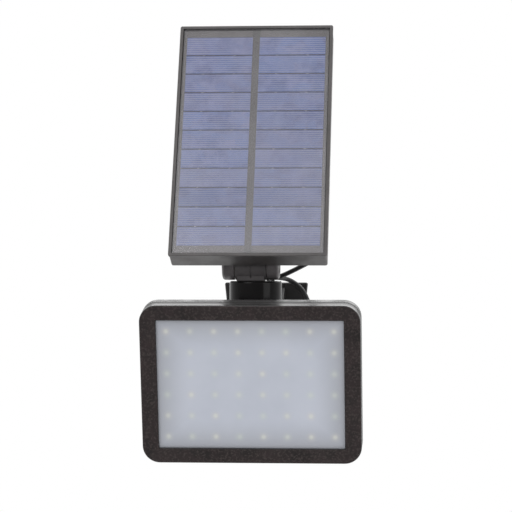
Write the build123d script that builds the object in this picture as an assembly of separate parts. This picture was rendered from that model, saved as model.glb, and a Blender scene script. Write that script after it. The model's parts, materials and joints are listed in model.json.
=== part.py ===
from build123d import *
import math
import os

# A wall-mounted solar flood light: a wall bracket carries a tilting lamp head in front
# and, on a turning turret above it, a tilting solar panel.
# Frame: +Z up, the wall is the plane y = 0, the light faces -Y, and the origin is the
# centre of the wall plate's rear face. All sizes are in millimetres.
# The panel and the lamp head are drawn upright, facing -Y, and then leaned about their hinges.

# ---- driving dimensions -------------------------------------------------------------

PANEL_WIDTH = 120.0
PANEL_LENGTH = 198.4
PANEL_DEPTH = 20.0
PANEL_LEAN = 24.5          # degrees back from upright, as stored

HEAD_WIDTH = 165.0
HEAD_HEIGHT = 122.0
HEAD_DEPTH = 22.0
HEAD_CORNER = 13.0
HEAD_LEAN = 13.0           # degrees forward from upright, as stored

WINDOW_WIDTH = 140.0
WINDOW_HEIGHT = 99.0

PLATE_TOP_WIDTH = 67.0
PLATE_BOTTOM_WIDTH = 48.0
PLATE_HEIGHT = 90.0
PLATE_THICKNESS = 4.0

PAN_Y = -100.0             # the turret's vertical axis
TILT_Z = 58.0              # height of the panel's hinge, above the turret
PANEL_X = -3.5             # the panel and its hinge sit a little left of the turret's axis
LAMP_HINGE_Y = -95.0
LAMP_HINGE_Z = -24.0

CABLE_RADIUS = 1.8
CLIP_LENGTH = 5.0
CLIP_WALL = 1.6
FACE_GAP = 0.2             # between faces that slide past each other
BORE_CLEARANCE = 0.05      # radial, between a turning bore and its bolt
MERGE = 1.0                # how far a rib or boss runs into the wall that it stands on

# pan-head screws
SCREW_HEAD_RADIUS = 2.9
SCREW_HEAD_HEIGHT = 1.6
SCREW_HEAD_ROUNDING = 0.5
CROSS_SHARE = 1.1          # length of the cross in the head, as a share of the head's radius
CROSS_WIDTH = 0.6
CROSS_DEPTH = 0.7

# ---- worked-out places --------------------------------------------------------------

PANEL_REAR_Y = PAN_Y - 14.5
PANEL_FRONT_Y = PANEL_REAR_Y - PANEL_DEPTH
PANEL_BOTTOM_Z = TILT_Z - 6.4
PANEL_MIDDLE_Z = PANEL_BOTTOM_Z + PANEL_LENGTH / 2

HEAD_REAR_Y = LAMP_HINGE_Y - 29.0
HEAD_FRONT_Y = HEAD_REAR_Y - HEAD_DEPTH
HEAD_MIDDLE_Z = LAMP_HINGE_Z + 5.5

# panel laminate, measured back from the front of the lip
LIP_WIDTH = 2.4
LIP_DEPTH = 2.0
LIP_OVERHANG = 0.6
GLASS_SINK = 0.6
GLASS_THICKNESS = 1.6
GLASS_EDGE_GAP = 0.4
CELL_THICKNESS = 0.25
RIBBON_THICKNESS = 0.12
BACKING_THICKNESS = 1.2
GLASS_Y = PANEL_FRONT_Y + GLASS_SINK
CELL_Y = GLASS_Y + GLASS_THICKNESS
RIBBON_Y = CELL_Y + CELL_THICKNESS
BACKING_Y = RIBBON_Y + RIBBON_THICKNESS
BACKING_REAR_Y = BACKING_Y + BACKING_THICKNESS
TRAY_WALL = 2.4
TRAY_FLOOR = 2.2
LIP_CORNER = 1.5
LIP_CHAMFER = 0.4
TRAY_ROUNDING = 1.2
LAMINATE_CORNER = 0.6
TRAY_RIB_HALF = 0.9        # ribs inside the tray, under the laminate
TRAY_RIB_X = (-38.0, 0.0, 38.0)
TRAY_RIB_RISE = (-45.0, 15.0, 60.0)
TRAY_BOSS_RADIUS = 3.4
TRAY_BOSS_DEPTH = 9.0
TRAY_SCREW_DEPTH = 8.0
GLASS_CHAMFER = 0.2
PANEL_SEAL_SINK = 0.5
RIBBON_WIDTH = 1.6
RIBBON_OFFSET = 12.0
RIBBON_SHORTER = 4.0
BACK_RIB_WIDTH = 1.8
BACK_RIB_HEIGHT = 1.2
BACK_RIB_X = 50.0
BACK_RIB_Z = [PANEL_BOTTOM_Z + 56.0 + 22.5 * step for step in range(7)]
OPENING_WIDTH = PANEL_WIDTH - 2 * LIP_WIDTH
OPENING_LENGTH = PANEL_LENGTH - 2 * LIP_WIDTH
GLASS_WIDTH = OPENING_WIDTH - 2 * GLASS_EDGE_GAP
GLASS_LENGTH = OPENING_LENGTH - 2 * GLASS_EDGE_GAP
TRAY_WIDTH = PANEL_WIDTH - 2 * LIP_OVERHANG
TRAY_LENGTH = PANEL_LENGTH - 2 * LIP_OVERHANG
CAVITY_WIDTH = TRAY_WIDTH - 2 * TRAY_WALL
CAVITY_LENGTH = TRAY_LENGTH - 2 * TRAY_WALL

# solar cells: two columns of strips cut from 156 mm wafers
CELL_ROWS = 11
CELL_WIDTH = 51.6
CELL_HEIGHT = 15.8
CELL_PITCH = 16.4
COLUMN_GAP = 5.5
CELLS_MIDDLE_Z = PANEL_MIDDLE_Z

# lamp head, from the front to the back
BEZEL_DEPTH = 12.5
BEZEL_FACE = 2.5
SHELL_WALL = 2.4
SHELL_BACK = 2.5
DIFFUSER_THICKNESS = 2.0
INSERT_WIDTH = WINDOW_WIDTH + 2.5
INSERT_HEIGHT = WINDOW_HEIGHT + 2.5
LED_DISTANCE = 8.0
BOARD_THICKNESS = 1.6
LID_SEAL = 0.4
SEAL_INSET = 0.4
BEZEL_ROUNDING = 1.4
WINDOW_BEVEL = 0.8
SHELL_ROUNDING = 3.0
REFLECTOR_STEP = 0.3
DIFFUSER_Y = HEAD_FRONT_Y + BEZEL_FACE
DIFFUSER_REAR_Y = DIFFUSER_Y + DIFFUSER_THICKNESS
BOARD_Y = DIFFUSER_REAR_Y + LED_DISTANCE
BOARD_REAR_Y = BOARD_Y + BOARD_THICKNESS
SEAM_Y = HEAD_FRONT_Y + BEZEL_DEPTH
LED_COLUMNS = 8
LED_ROWS = 6
LED_PITCH_X = 17.9
LED_PITCH_Z = 16.3
LED_SIZE = (3.5, 0.8, 2.8)
BOSS_X = 75.0
BOSS_Z = 53.5
BOSS_RADIUS = 3.2
SCREW_RADIUS = 1.45
SCREW_RECESS = 2.4
SCREW_RECESS_RADIUS = 3.1
HOUSING_HOLE_RADIUS = 1.7
HOUSING_SCREW_LENGTH = 15.0

# battery bay: the raised part of the head's back
BAY_WIDTH = 112.0
BAY_TOP_Z = HEAD_MIDDLE_Z + 18.0
BAY_BOTTOM_Z = HEAD_MIDDLE_Z - 45.0
BAY_DEPTH = 17.0
BAY_CORNER = 8.0
BAY_MIDDLE_Z = (BAY_TOP_Z + BAY_BOTTOM_Z) / 2
BAY_HEIGHT = BAY_TOP_Z - BAY_BOTTOM_Z
BAY_REAR_Y = HEAD_REAR_Y + BAY_DEPTH
BAY_INSIDE_Y = BAY_REAR_Y - SHELL_BACK
HOUSING_RIB_PITCH = 24.0
HOUSING_RIB_HEIGHT = 3.0
HOUSING_RIB_HALF = 1.0
HOUSING_RIBS = 5
SIDE_RIB_REACH = 40.0
TOP_RIB_REACH = 50.0
BOARD_STOP_REACH = 45.0
HOUSING_HEAD_RADIUS = 2.8
SIDE_RIB_X = (-66.0, 66.0)
BOARD_STOP_X = (-68.0, 68.0)

# battery cells of the 18650 size
BATTERY_RADIUS = 9.15
BATTERY_LENGTH = 65.0
BATTERY_X = -16.0
BATTERY_PITCH = 19.0
BATTERY_CAP_RADIUS = 3.2
BATTERY_CAP_HEIGHT = 1.5
BATTERY_ROUNDING = 0.6
BATTERY_GAP = 0.3
HOLDER_FLOOR = 1.6
HOLDER_MARGIN = 2.5
HOLDER_WALL = 1.5
HOLDER_SCREW_ROOM = 6.0
HOLDER_WALL_REACH = 5.0    # how far the end walls go past the cells' axes
BATTERY_Y = BAY_INSIDE_Y - HOLDER_FLOOR - BATTERY_RADIUS - BATTERY_GAP

# controller board beside the battery cells
CONTROLLER_X = (22.0, 51.0)
CONTROLLER_Z = (BAY_MIDDLE_Z - 10.0, BAY_MIDDLE_Z + 10.0)
CONTROLLER_Y = BAY_INSIDE_Y - 5.0
CONTROLLER_FOOT_RADIUS = 1.8
CONTROLLER_FOOT_INSET = 3.0
CONTROLLER_FOOT_RISE = 7.0
CHIP_X = 32.5
COIL_X = 43.0
COIL_RISE = 3.0
CAPACITOR_X = 26.0
CAPACITOR_RISE = -6.0
CONNECTOR_X = 44.0
CONNECTOR_RISE = -6.75
CHIP_SIZE = (5.0, 1.5, 6.0)
COIL_RADIUS = 3.5
COIL_HEIGHT = 4.0
CAPACITOR_RADIUS = 2.5
CAPACITOR_HEIGHT = 7.0
CONNECTOR_SIZE = (8.0, 5.0, 4.5)

# push button on the back of the battery bay
BUTTON_X = 40.0
BUTTON_Z = BAY_BOTTOM_Z + 12.0
BUTTON_RADIUS = 4.0
BUTTON_COLLAR = 6.2
BUTTON_STANDOUT = 2.2
BUTTON_FLANGE_RADIUS = 4.9
BUTTON_FLANGE_THICKNESS = 1.0
BUTTON_GAP = 0.3
BUTTON_ROUNDING = 0.8
COLLAR_HEIGHT = 1.2
SWITCH_SIZE = 14.0
SWITCH_DEPTH = 9.0
SWITCH_FLOOR = 2.0
SPRING_RADIUS = 3.0
SPRING_WALL = 1.0

# panel hinge
BARREL_RADIUS = 10.0
BARREL_HALF = 12.0
TILT_WASHER = 0.4
TILT_WASHER_RADIUS = 8.0
EAR_INSIDE = BARREL_HALF + FACE_GAP + TILT_WASHER
EAR_THICKNESS = 9.2
EAR_OUTSIDE = EAR_INSIDE + EAR_THICKNESS
EAR_RADIUS = 10.0
EAR_ROUNDING = 2.4
EAR_ROOT_REACH = (-2.0, 26.0)
TILT_BOLT_RADIUS = 3.0
TILT_HEX = 10.0            # across the flats of the bolt's head and of the nut
HEX_POCKET_DEPTH = 5.0     # pocket in each ear that keeps the head or the nut from turning
HEX_SEAT = EAR_OUTSIDE - HEX_POCKET_DEPTH
TILT_BOLT_SINK = 0.4
TILT_HEAD_HEIGHT = 4.0
TILT_NUT_HEIGHT = 4.4
BRACKET_THICKNESS = 3.0
BRACKET_WIDTH = 50.0
BRACKET_CORNER = 4.0
BRACKET_HOLE_RADIUS = 1.8
BRACKET_SCREW_X = 8.5
BRACKET_SCREW_Z = 8.0
BRACKET_SCREW_RISE = 23.0
BRACKET_SCREW_LENGTH = 10.0
BRACKET_RIB_RISE = (34.0, 36.0)
BRACKET_RIB_HEIGHT = 5.0
EAR_ROOT_DEPTH = 1.5       # how far an ear's root runs into its plate
BRACKET_LOW = PANEL_BOTTOM_Z + 3.0
BRACKET_HIGH = TILT_Z + 38.0
EDGE_CHAMFER = 0.6

# turret and its socket on the arm
TURRET_RADIUS = 20.0
SOCKET_TOP_Z = 29.5
PAN_DISC = 0.6
PAN_DISC_INSET = 2.0
PAN_DISC_GAP = 0.4
SOCKET_ROUNDING = 3.0
TURRET_BOTTOM_Z = SOCKET_TOP_Z + PAN_DISC + FACE_GAP
TURRET_TOP_Z = 47.2
SOCKET_BOTTOM_Z = 12.0
PAN_BOLT_RADIUS = 3.0
PAN_BOLT_REACH = 12.0      # how far the bolt goes into the turret
PAN_HEAD_RADIUS = 5.0
PAN_HEAD_HEIGHT = 4.0
PAN_KEY_RADIUS = 2.5       # hexagonal socket in the bolt's head
PAN_KEY_DEPTH = 2.4
PAN_WASHER = 1.6
PAN_WASHER_RADIUS = 6.5
TURRET_ROUNDING = 1.6
POST_HALF = 10.5           # block between the turret and the barrel
POST_REACH = 7.0
BARREL_CHAMFER = 0.3
SEAM_HALF = 0.3            # mould seam round the middle of the barrel
SEAM_DEPTH = 0.4
CLIP_LUG_ROOT = 15.0       # lug behind the turret that carries the cable clip
CLIP_LUG_Z = (40.5, 43.5)
CLIP_LUG_HALF = 3.0
CLIP_POST_HALF = 2.5
CLIP_FOOT_HALF = 3.0
CLIP_FOOT_HEIGHT = 2.4

# lamp hinge
KNUCKLE_RADIUS = 8.0
KNUCKLE_HALF = 13.0
LAMP_WASHER = 0.6
LAMP_EAR_INSIDE = KNUCKLE_HALF + FACE_GAP + LAMP_WASHER
LAMP_EAR_THICKNESS = 3.0
LAMP_EAR_OUTSIDE = LAMP_EAR_INSIDE + LAMP_EAR_THICKNESS
LAMP_EAR_RADIUS = 8.6
LAMP_BOLT_RADIUS = 2.5
LAMP_BRACKET_THICKNESS = 2.5
LAMP_BRACKET_WIDTH = 50.0
LAMP_BRACKET_HEIGHT = 38.0
LAMP_SCREW_X = 20.5
LAMP_SCREW_Z = 14.0
LAMP_SCREW_LENGTH = 5.8
LAMP_EAR_ROOT_REACH = (-14.0, 14.0)
LAMP_HEX = 8.0
LAMP_HEAD_HEIGHT = 3.5
LAMP_NUT_HEIGHT = 4.5
LAMP_BOLT_STANDOUT = 6.0
LAMP_WASHER_RADIUS = 6.5
KNUCKLE_ROOT_Y = -81.0

# wall plate
WALL_HOLE_X = 20.0
WALL_HOLE_Z = 28.0
WALL_HOLE_RADIUS = 2.25
PLATE_TOP_CORNER = 1.5
PLATE_BOTTOM_CORNER = 8.0
PLATE_CHAMFER = 0.8
SCREW_HOLE_GAP = 0.2

# arm
ARM_HALF = 15.0
ARM_TOP_Z = 27.0
ARM_BOTTOM_Z = -38.0
ARM_CEILING_Z = 23.5
ARM_FLOOR_Z = -34.5
ARM_SIDE_WALL = 3.0
ARM_ROUNDING = 3.0
ARM_SCREW_Z = (-26.0, 16.0)
ARM_RIB_HEIGHT = 1.0
ARM_SCREW_RADIUS = 1.9
ARM_HEAD_RADIUS = 4.0
ARM_HEAD_SEAT = 2.2
ARM_HEAD_SINK = 0.3
ARM_SLOT_LENGTH = 4.4
ARM_SLOT_WIDTH = 1.0
ARM_SLOT_DEPTH = 0.9
ARM_SCREW_REACH = 16.0
ARM_HOLE_REACH = 18.0
ARM_BOSS_REACH = 20.0
ARM_RIB_HALF = 1.0
ARM_RIB_END_Y = -76.0
ARM_WEB_END_Y = -79.0
GUSSET_RISE = 15.0
GUSSET_REACH = 22.0
ARM_BOSS_RADIUS = 4.5
ARM_WEB_HALF = 1.2
ARM_GUSSET = 3.0
ARM_RIB_Z = (18.0, -33.5)

# junction cover and gland on the back of the panel
JUNCTION_X = 44.0
JUNCTION_WIDTH = 22.0
JUNCTION_HEIGHT = 26.0
JUNCTION_DEPTH = 7.0
JUNCTION_Z = PANEL_BOTTOM_Z + 21.0
JUNCTION_CORNER = 3.0
JUNCTION_ROUNDING = 1.5
JUNCTION_WALL = 1.6
JUNCTION_ROOF = 2.0
JUNCTION_SCREW_X = 7.0
JUNCTION_SCREW_RISE = 10.0
JUNCTION_PILLAR_RADIUS = 3.0
JUNCTION_HOLE_RADIUS = 1.3
JUNCTION_SCREW_RADIUS = 1.15
JUNCTION_HEAD_RADIUS = 2.3
JUNCTION_HEAD_HEIGHT = 1.2
JUNCTION_SCREW_BITE = 2.0  # how far the screws go into the tray
TRAY_PILOT_RADIUS = 1.2
DIODE_Z = PANEL_BOTTOM_Z + 40.0
DIODE_X = (42.0, 48.0)
DIODE_RADIUS = 1.4
DIODE_AXIS = 1.6           # height of the diode's axis above the backing board
DIODE_LEAD_RADIUS = 0.4
DIODE_LEAD_LENGTH = 2.5
DIODE_PAD_SIZE = 2.0
DIODE_PAD_HEIGHT = 1.3
PANEL_GLAND_X = 47.0
PANEL_GLAND_Z = PANEL_BOTTOM_Z + 15.5
LAMP_GLAND_X = 44.0
LAMP_GLAND_Z = LAMP_HINGE_Z + 12.0
GLAND_NUT_RADIUS = 5.2
GLAND_NUT_LENGTH = 3.0
GLAND_RELIEF_RADIUS = 4.0
GLAND_RELIEF_LENGTH = 6.0
GLAND_TAPER = 14.0
GLAND_THREAD_RADIUS = 2.9
GLAND_THREAD_LENGTH = 4.0
GLAND_NUT_ROUNDING = 0.6
GLAND_HOLE_RADIUS = 3.0
ARC_SHARE = 0.45           # share of a run that the arc at its corner may take

# ---- cable routes -------------------------------------------------------------------
# One two-core cable runs from the panel to the lamp head. Two clips hold it, one on the
# turret and one on the arm, so it bends in three stretches, one across each joint.

PANEL_LEAD_ROUTE = [
    (43.5, -100.3, 68.15),
    (43.5, -89.4, 63.2),
    (37.0, -80.5, 60.0),
    (26.5, -76.2, 54.8),
    (16.5, -74.8, 50.2),
    (8.4, -67.5, 49.1),
    (7.8, -56.0, 49.0),
]
SWIVEL_LEAD_ROUTE = [
    (7.8, -56.0, 49.0),
    (7.3, -46.5, 48.92),
    (12.2, -38.0, 49.4),
    (20.9, -33.4, 47.8),
    (29.4, -34.6, 42.0),
    (34.8, -37.2, 34.0),
    (37.6, -39.3, 24.6),
    (37.2, -39.5, 15.0),
    (32.7, -38.0, 5.2),
    (25.0, -38.5, -2.2),
    (19.24, -46.5, -6.63),
    (18.6, -57.0, -8.0),
]
LAMP_LEAD_ROUTE = [
    (18.6, -57.0, -8.0),
    (17.9, -68.5, -9.5),
    (25.5, -78.0, -12.5),
    (37.0, -83.5, -12.5),
    (44.0, -94.8, -11.6),
    (44.0, -106.4, -14.3),
]


# ---- small helpers ------------------------------------------------------------------

def block(x_range, y_range, z_range):
    """A box between the given limits."""
    sizes = [high - low for low, high in (x_range, y_range, z_range)]
    middle = [(high + low) / 2 for low, high in (x_range, y_range, z_range)]
    return Pos(*middle) * Box(*sizes)


def rod_x(radius, x_range, y, z):
    """A round bar along X."""
    start = Plane(origin=(x_range[0], y, z), x_dir=(0, 1, 0), z_dir=(1, 0, 0))
    return extrude(start * Circle(radius), x_range[1] - x_range[0])


def rod_y(radius, y_range, x, z):
    """A round bar along Y."""
    start = Plane(origin=(x, y_range[0], z), x_dir=(1, 0, 0), z_dir=(0, 1, 0))
    return extrude(start * Circle(radius), y_range[1] - y_range[0])


def rod_z(radius, z_range, x, y):
    """A round bar along Z."""
    start = Plane(origin=(x, y, z_range[0]), x_dir=(1, 0, 0), z_dir=(0, 0, 1))
    return extrude(start * Circle(radius), z_range[1] - z_range[0])


def slab(width, height, y_range, middle_z, corner=0.0, middle_x=0.0):
    """An upright plate with rounded corners, its thickness along Y."""
    start = Plane(origin=(middle_x, y_range[0], middle_z), x_dir=(1, 0, 0), z_dir=(0, 1, 0))
    outline = RectangleRounded(width, height, corner) if corner else Rectangle(width, height)
    return extrude(start * outline, y_range[1] - y_range[0])


def hex_bar(across_flats, x_range, y, z):
    """A hexagonal bar along X, for nuts and bolt heads."""
    start = Plane(origin=(x_range[0], y, z), x_dir=(0, 1, 0), z_dir=(1, 0, 0))
    outline = RegularPolygon(across_flats / 2, 6, major_radius=False)
    return extrude(start * outline, x_range[1] - x_range[0])


def group(pieces):
    """Several separate solids as one node."""
    return Compound([solid for piece in pieces for solid in piece.solids()])


def four_corners(half_x, half_z, middle_z):
    """The four places of a rectangular pattern, as (x, z)."""
    return [(sx * half_x, middle_z + sz * half_z) for sx in (-1, 1) for sz in (-1, 1)]


def pan_head_screw(x, z, head_y, length, head_radius, shank_radius, head_height=SCREW_HEAD_HEIGHT):
    """A pan-head screw along Y, its head's seat at head_y and its shank towards -Y."""
    head = rod_y(head_radius, (head_y, head_y + head_height), x, z)
    rim = head.faces().sort_by(Axis.Y)[-1].edges()
    head = fillet(rim, SCREW_HEAD_ROUNDING)
    top = head_y + head_height
    cross_length = head_radius * CROSS_SHARE
    head -= slab(cross_length, CROSS_WIDTH, (top - CROSS_DEPTH, top), z, middle_x=x)
    head -= slab(CROSS_WIDTH, cross_length, (top - CROSS_DEPTH, top), z, middle_x=x)
    return head + rod_y(shank_radius, (head_y - length, head_y), x, z)


def lean_panel(shape):
    """Leans an upright panel piece back about the panel's hinge."""
    return Rotation(-PANEL_LEAN, 0, 0) * Pos(0, -PAN_Y, -TILT_Z) * shape


def place_panel(shape):
    """Moves a panel piece from its upright drawing to its stored place."""
    return Pos(PANEL_X, PAN_Y, TILT_Z) * lean_panel(shape)


def place_head(shape):
    """Moves a lamp-head piece from its upright drawing to its stored place."""
    hinge = Pos(0, LAMP_HINGE_Y, LAMP_HINGE_Z)
    return hinge * Rotation(HEAD_LEAN, 0, 0) * Pos(0, -LAMP_HINGE_Y, -LAMP_HINGE_Z) * shape


# ---- wall bracket -------------------------------------------------------------------

def wall_plate():
    """Tapered plate that screws to the wall, with two counterbored holes for the arm's screws."""
    top = PLATE_TOP_WIDTH / 2
    bottom = PLATE_BOTTOM_WIDTH / 2
    half = PLATE_HEIGHT / 2
    start = Plane(origin=(0, 0, 0), x_dir=(1, 0, 0), z_dir=(0, -1, 0))
    outline = Polygon((-top, half), (top, half), (bottom, -half), (-bottom, -half), align=None)
    outline = fillet(outline.vertices().group_by(Axis.Y)[0], PLATE_BOTTOM_CORNER)
    outline = fillet(outline.vertices().group_by(Axis.Y)[-1], PLATE_TOP_CORNER)
    plate = extrude(start * outline, PLATE_THICKNESS, dir=(0, -1, 0))
    plate = chamfer(plate.faces().sort_by(Axis.Y)[0].edges(), PLATE_CHAMFER)
    for x, z in four_corners(WALL_HOLE_X, WALL_HOLE_Z, 0):
        plate -= rod_y(WALL_HOLE_RADIUS, (-PLATE_THICKNESS, 0), x, z)
    for z in ARM_SCREW_Z:
        plate -= rod_y(ARM_SCREW_RADIUS + SCREW_HOLE_GAP, (-PLATE_THICKNESS, 0), 0, z)
        plate -= rod_y(ARM_HEAD_RADIUS + SCREW_HOLE_GAP, (-ARM_HEAD_SEAT, 0), 0, z)
    return plate


def arm_screws():
    """Two screws from behind the wall plate into the arm's bosses."""
    screws = []
    for z in ARM_SCREW_Z:
        head = rod_y(ARM_HEAD_RADIUS, (-ARM_HEAD_SEAT, -ARM_HEAD_SINK), 0, z)
        shank = rod_y(ARM_SCREW_RADIUS, (-ARM_SCREW_REACH, -ARM_HEAD_SEAT), 0, z)
        slot_y = (-ARM_HEAD_SINK - ARM_SLOT_DEPTH, -ARM_HEAD_SINK)
        screws.append(head + shank - slab(ARM_SLOT_LENGTH, ARM_SLOT_WIDTH, slot_y, z))
    return group(screws)


def arm_shell():
    """The arm's hollow body, seen from the side as one outline less another."""
    wall_y = -PLATE_THICKNESS
    outside = Plane(origin=(-ARM_HALF, 0, 0), x_dir=(0, 1, 0), z_dir=(1, 0, 0))
    profile = Polygon(
        (wall_y, ARM_TOP_Z), (PAN_Y, ARM_TOP_Z), (PAN_Y, SOCKET_BOTTOM_Z), (-91, SOCKET_BOTTOM_Z),
        (-84, 3), (-83, -33), (-60, ARM_BOTTOM_Z), (wall_y, ARM_BOTTOM_Z), align=None,
    )
    profile = fillet(profile.vertices().sort_by(Axis.X)[3:6], ARM_ROUNDING)
    inside = Plane(origin=(-ARM_HALF + ARM_SIDE_WALL, 0, 0), x_dir=(0, 1, 0), z_dir=(1, 0, 0))
    core = Polygon(
        (wall_y, ARM_CEILING_Z), (-78, ARM_CEILING_Z), (-79.5, 4), (-79.5, -30),
        (-59, ARM_FLOOR_Z), (wall_y, ARM_FLOOR_Z), align=None,
    )
    shell = extrude(outside * profile, 2 * ARM_HALF)
    return shell - extrude(inside * core, 2 * (ARM_HALF - ARM_SIDE_WALL))


def arm_side_ribs(side):
    """The low ribs along one side of the arm, and the gusset above it at the wall."""
    wall_y = -PLATE_THICKNESS
    limits = sorted((side * (ARM_HALF - MERGE), side * (ARM_HALF + ARM_RIB_HEIGHT)))
    ribs = [block(limits, (ARM_RIB_END_Y, wall_y), (z - ARM_RIB_HALF, z + ARM_RIB_HALF)) for z in ARM_RIB_Z]
    left = min(side * ARM_HALF, side * (ARM_HALF - ARM_GUSSET))
    start = Plane(origin=(left, 0, 0), x_dir=(0, 1, 0), z_dir=(1, 0, 0))
    root_z = ARM_TOP_Z - MERGE
    outline = Polygon(
        (wall_y, root_z), (wall_y, root_z + GUSSET_RISE), (wall_y - GUSSET_REACH, root_z), align=None,
    )
    return ribs + [extrude(start * outline, ARM_GUSSET, dir=(1, 0, 0))]


def support_arm():
    """Hollow moulded arm with the turret's socket on top and the lamp's knuckle in front."""
    wall_y = -PLATE_THICKNESS
    arm = arm_shell()
    socket = rod_z(TURRET_RADIUS, (SOCKET_BOTTOM_Z, SOCKET_TOP_Z), 0, PAN_Y)
    arm += fillet(socket.faces().sort_by(Axis.Z)[0].edges(), SOCKET_ROUNDING)
    arm += rod_x(KNUCKLE_RADIUS, (-KNUCKLE_HALF, KNUCKLE_HALF), LAMP_HINGE_Y, LAMP_HINGE_Z)
    knuckle_z = (LAMP_HINGE_Z - KNUCKLE_RADIUS, LAMP_HINGE_Z + KNUCKLE_RADIUS)
    arm += block((-KNUCKLE_HALF, KNUCKLE_HALF), (LAMP_HINGE_Y, KNUCKLE_ROOT_Y), knuckle_z)
    for side in (-1, 1):
        for stiffener in arm_side_ribs(side):
            arm += stiffener
    for z in ARM_SCREW_Z:
        arm += rod_y(ARM_BOSS_RADIUS, (-ARM_BOSS_REACH, wall_y), 0, z)
        arm -= rod_y(ARM_SCREW_RADIUS + BORE_CLEARANCE, (-ARM_HOLE_REACH, wall_y), 0, z)
    web_y = (ARM_WEB_END_Y, -ARM_BOSS_REACH)
    arm += block((-ARM_WEB_HALF, ARM_WEB_HALF), web_y, (ARM_FLOOR_Z, ARM_CEILING_Z))
    arm -= rod_z(PAN_BOLT_RADIUS + BORE_CLEARANCE, (0, SOCKET_TOP_Z), 0, PAN_Y)
    bore_x = (-KNUCKLE_HALF - MERGE, KNUCKLE_HALF + MERGE)
    arm -= rod_x(LAMP_BOLT_RADIUS + BORE_CLEARANCE, bore_x, LAMP_HINGE_Y, LAMP_HINGE_Z)
    return arm


def clip(middle, direction, foot):
    """A cable clip: a ring round the cable with a foot to what it is fixed to."""
    start = Plane(origin=middle - direction * (CLIP_LENGTH / 2), z_dir=direction)
    ring = extrude(start * Circle(CABLE_RADIUS + CLIP_WALL), CLIP_LENGTH)
    bore_start = Plane(origin=middle - direction * CLIP_LENGTH, z_dir=direction)
    bore = extrude(bore_start * Circle(CABLE_RADIUS + BORE_CLEARANCE), 2 * CLIP_LENGTH)
    return ring + foot - bore


def clip_place(route):
    """The middle of a clip that holds the last stretch of a route, and its direction."""
    end = Vector(*route[-1])
    direction = (end - Vector(*route[-2])).normalized()
    return end - direction * (CLIP_LENGTH / 2), direction


def arm_cable_clip():
    """Clip on the arm's right side, where the cable passes forward to the lamp head."""
    middle, direction = clip_place(SWIVEL_LEAD_ROUTE)
    foot_y = (middle.Y - CLIP_FOOT_HALF, middle.Y + CLIP_FOOT_HALF)
    foot = block((ARM_HALF, middle.X), foot_y, (middle.Z - CLIP_FOOT_HEIGHT, middle.Z + CLIP_FOOT_HEIGHT))
    return clip(middle, direction, foot)


def pan_disc():
    """Friction disc between the socket and the turret."""
    z_range = (SOCKET_TOP_Z, SOCKET_TOP_Z + PAN_DISC)
    disc = rod_z(TURRET_RADIUS - PAN_DISC_INSET, z_range, 0, PAN_Y)
    return disc - rod_z(PAN_BOLT_RADIUS + PAN_DISC_GAP, z_range, 0, PAN_Y)


# ---- turning neck -------------------------------------------------------------------

def pan_turret():
    """Round turret with the panel's hinge barrel across its top."""
    turret = rod_z(TURRET_RADIUS, (TURRET_BOTTOM_Z, TURRET_TOP_Z), 0, PAN_Y)
    turret = fillet(turret.faces().sort_by(Axis.Z)[-1].edges(), TURRET_ROUNDING)
    post_x = (PANEL_X - POST_HALF, PANEL_X + POST_HALF)
    post_y = (PAN_Y - POST_REACH, PAN_Y + POST_REACH)
    turret += block(post_x, post_y, (TURRET_TOP_Z - MERGE, TILT_Z))
    barrel = rod_x(BARREL_RADIUS, (PANEL_X - BARREL_HALF, PANEL_X + BARREL_HALF), PAN_Y, TILT_Z)
    barrel = chamfer(barrel.edges().filter_by(GeomType.CIRCLE), BARREL_CHAMFER)
    seam_x = (PANEL_X - SEAM_HALF, PANEL_X + SEAM_HALF)
    seam = rod_x(BARREL_RADIUS + MERGE, seam_x, PAN_Y, TILT_Z)
    seam -= rod_x(BARREL_RADIUS - SEAM_DEPTH, seam_x, PAN_Y, TILT_Z)
    turret += barrel
    turret -= seam
    bore = TILT_BOLT_RADIUS + BORE_CLEARANCE
    turret -= rod_x(bore, (PANEL_X - EAR_OUTSIDE, PANEL_X + EAR_OUTSIDE), PAN_Y, TILT_Z)
    turret -= rod_z(PAN_BOLT_RADIUS, (TURRET_BOTTOM_Z, TURRET_BOTTOM_Z + PAN_BOLT_REACH), 0, PAN_Y)
    return turret


def pan_bolt():
    """Bolt from below that holds the turret on the arm's socket."""
    seat = SOCKET_BOTTOM_Z - PAN_WASHER
    under = seat - PAN_HEAD_HEIGHT
    shank = rod_z(PAN_BOLT_RADIUS, (seat, TURRET_BOTTOM_Z + PAN_BOLT_REACH), 0, PAN_Y)
    head = rod_z(PAN_HEAD_RADIUS, (under, seat), 0, PAN_Y)
    key = Plane(origin=(0, PAN_Y, under)) * RegularPolygon(PAN_KEY_RADIUS, 6, major_radius=False)
    return shank + head - extrude(key, PAN_KEY_DEPTH)


def pan_washer():
    """Spring washer under the turret bolt's head."""
    z_range = (SOCKET_BOTTOM_Z - PAN_WASHER, SOCKET_BOTTOM_Z - FACE_GAP)
    return rod_z(PAN_WASHER_RADIUS, z_range, 0, PAN_Y) - rod_z(PAN_BOLT_RADIUS, z_range, 0, PAN_Y)


def turret_cable_clip():
    """Clip on a lug behind the turret, where the cable turns back towards the arm."""
    middle, direction = clip_place(PANEL_LEAD_ROUTE)
    sides = (middle.X - CLIP_LUG_HALF, middle.X + CLIP_LUG_HALF)
    lug = block(sides, (PAN_Y + CLIP_LUG_ROOT, middle.Y + CLIP_POST_HALF), CLIP_LUG_Z)
    lug -= rod_z(TURRET_RADIUS, CLIP_LUG_Z, 0, PAN_Y)
    post_y = (middle.Y - CLIP_POST_HALF, middle.Y + CLIP_POST_HALF)
    post = block(sides, post_y, (CLIP_LUG_Z[1], middle.Z - MERGE))
    return clip(middle, direction, lug + post)


# ---- solar panel (drawn upright) ----------------------------------------------------

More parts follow.
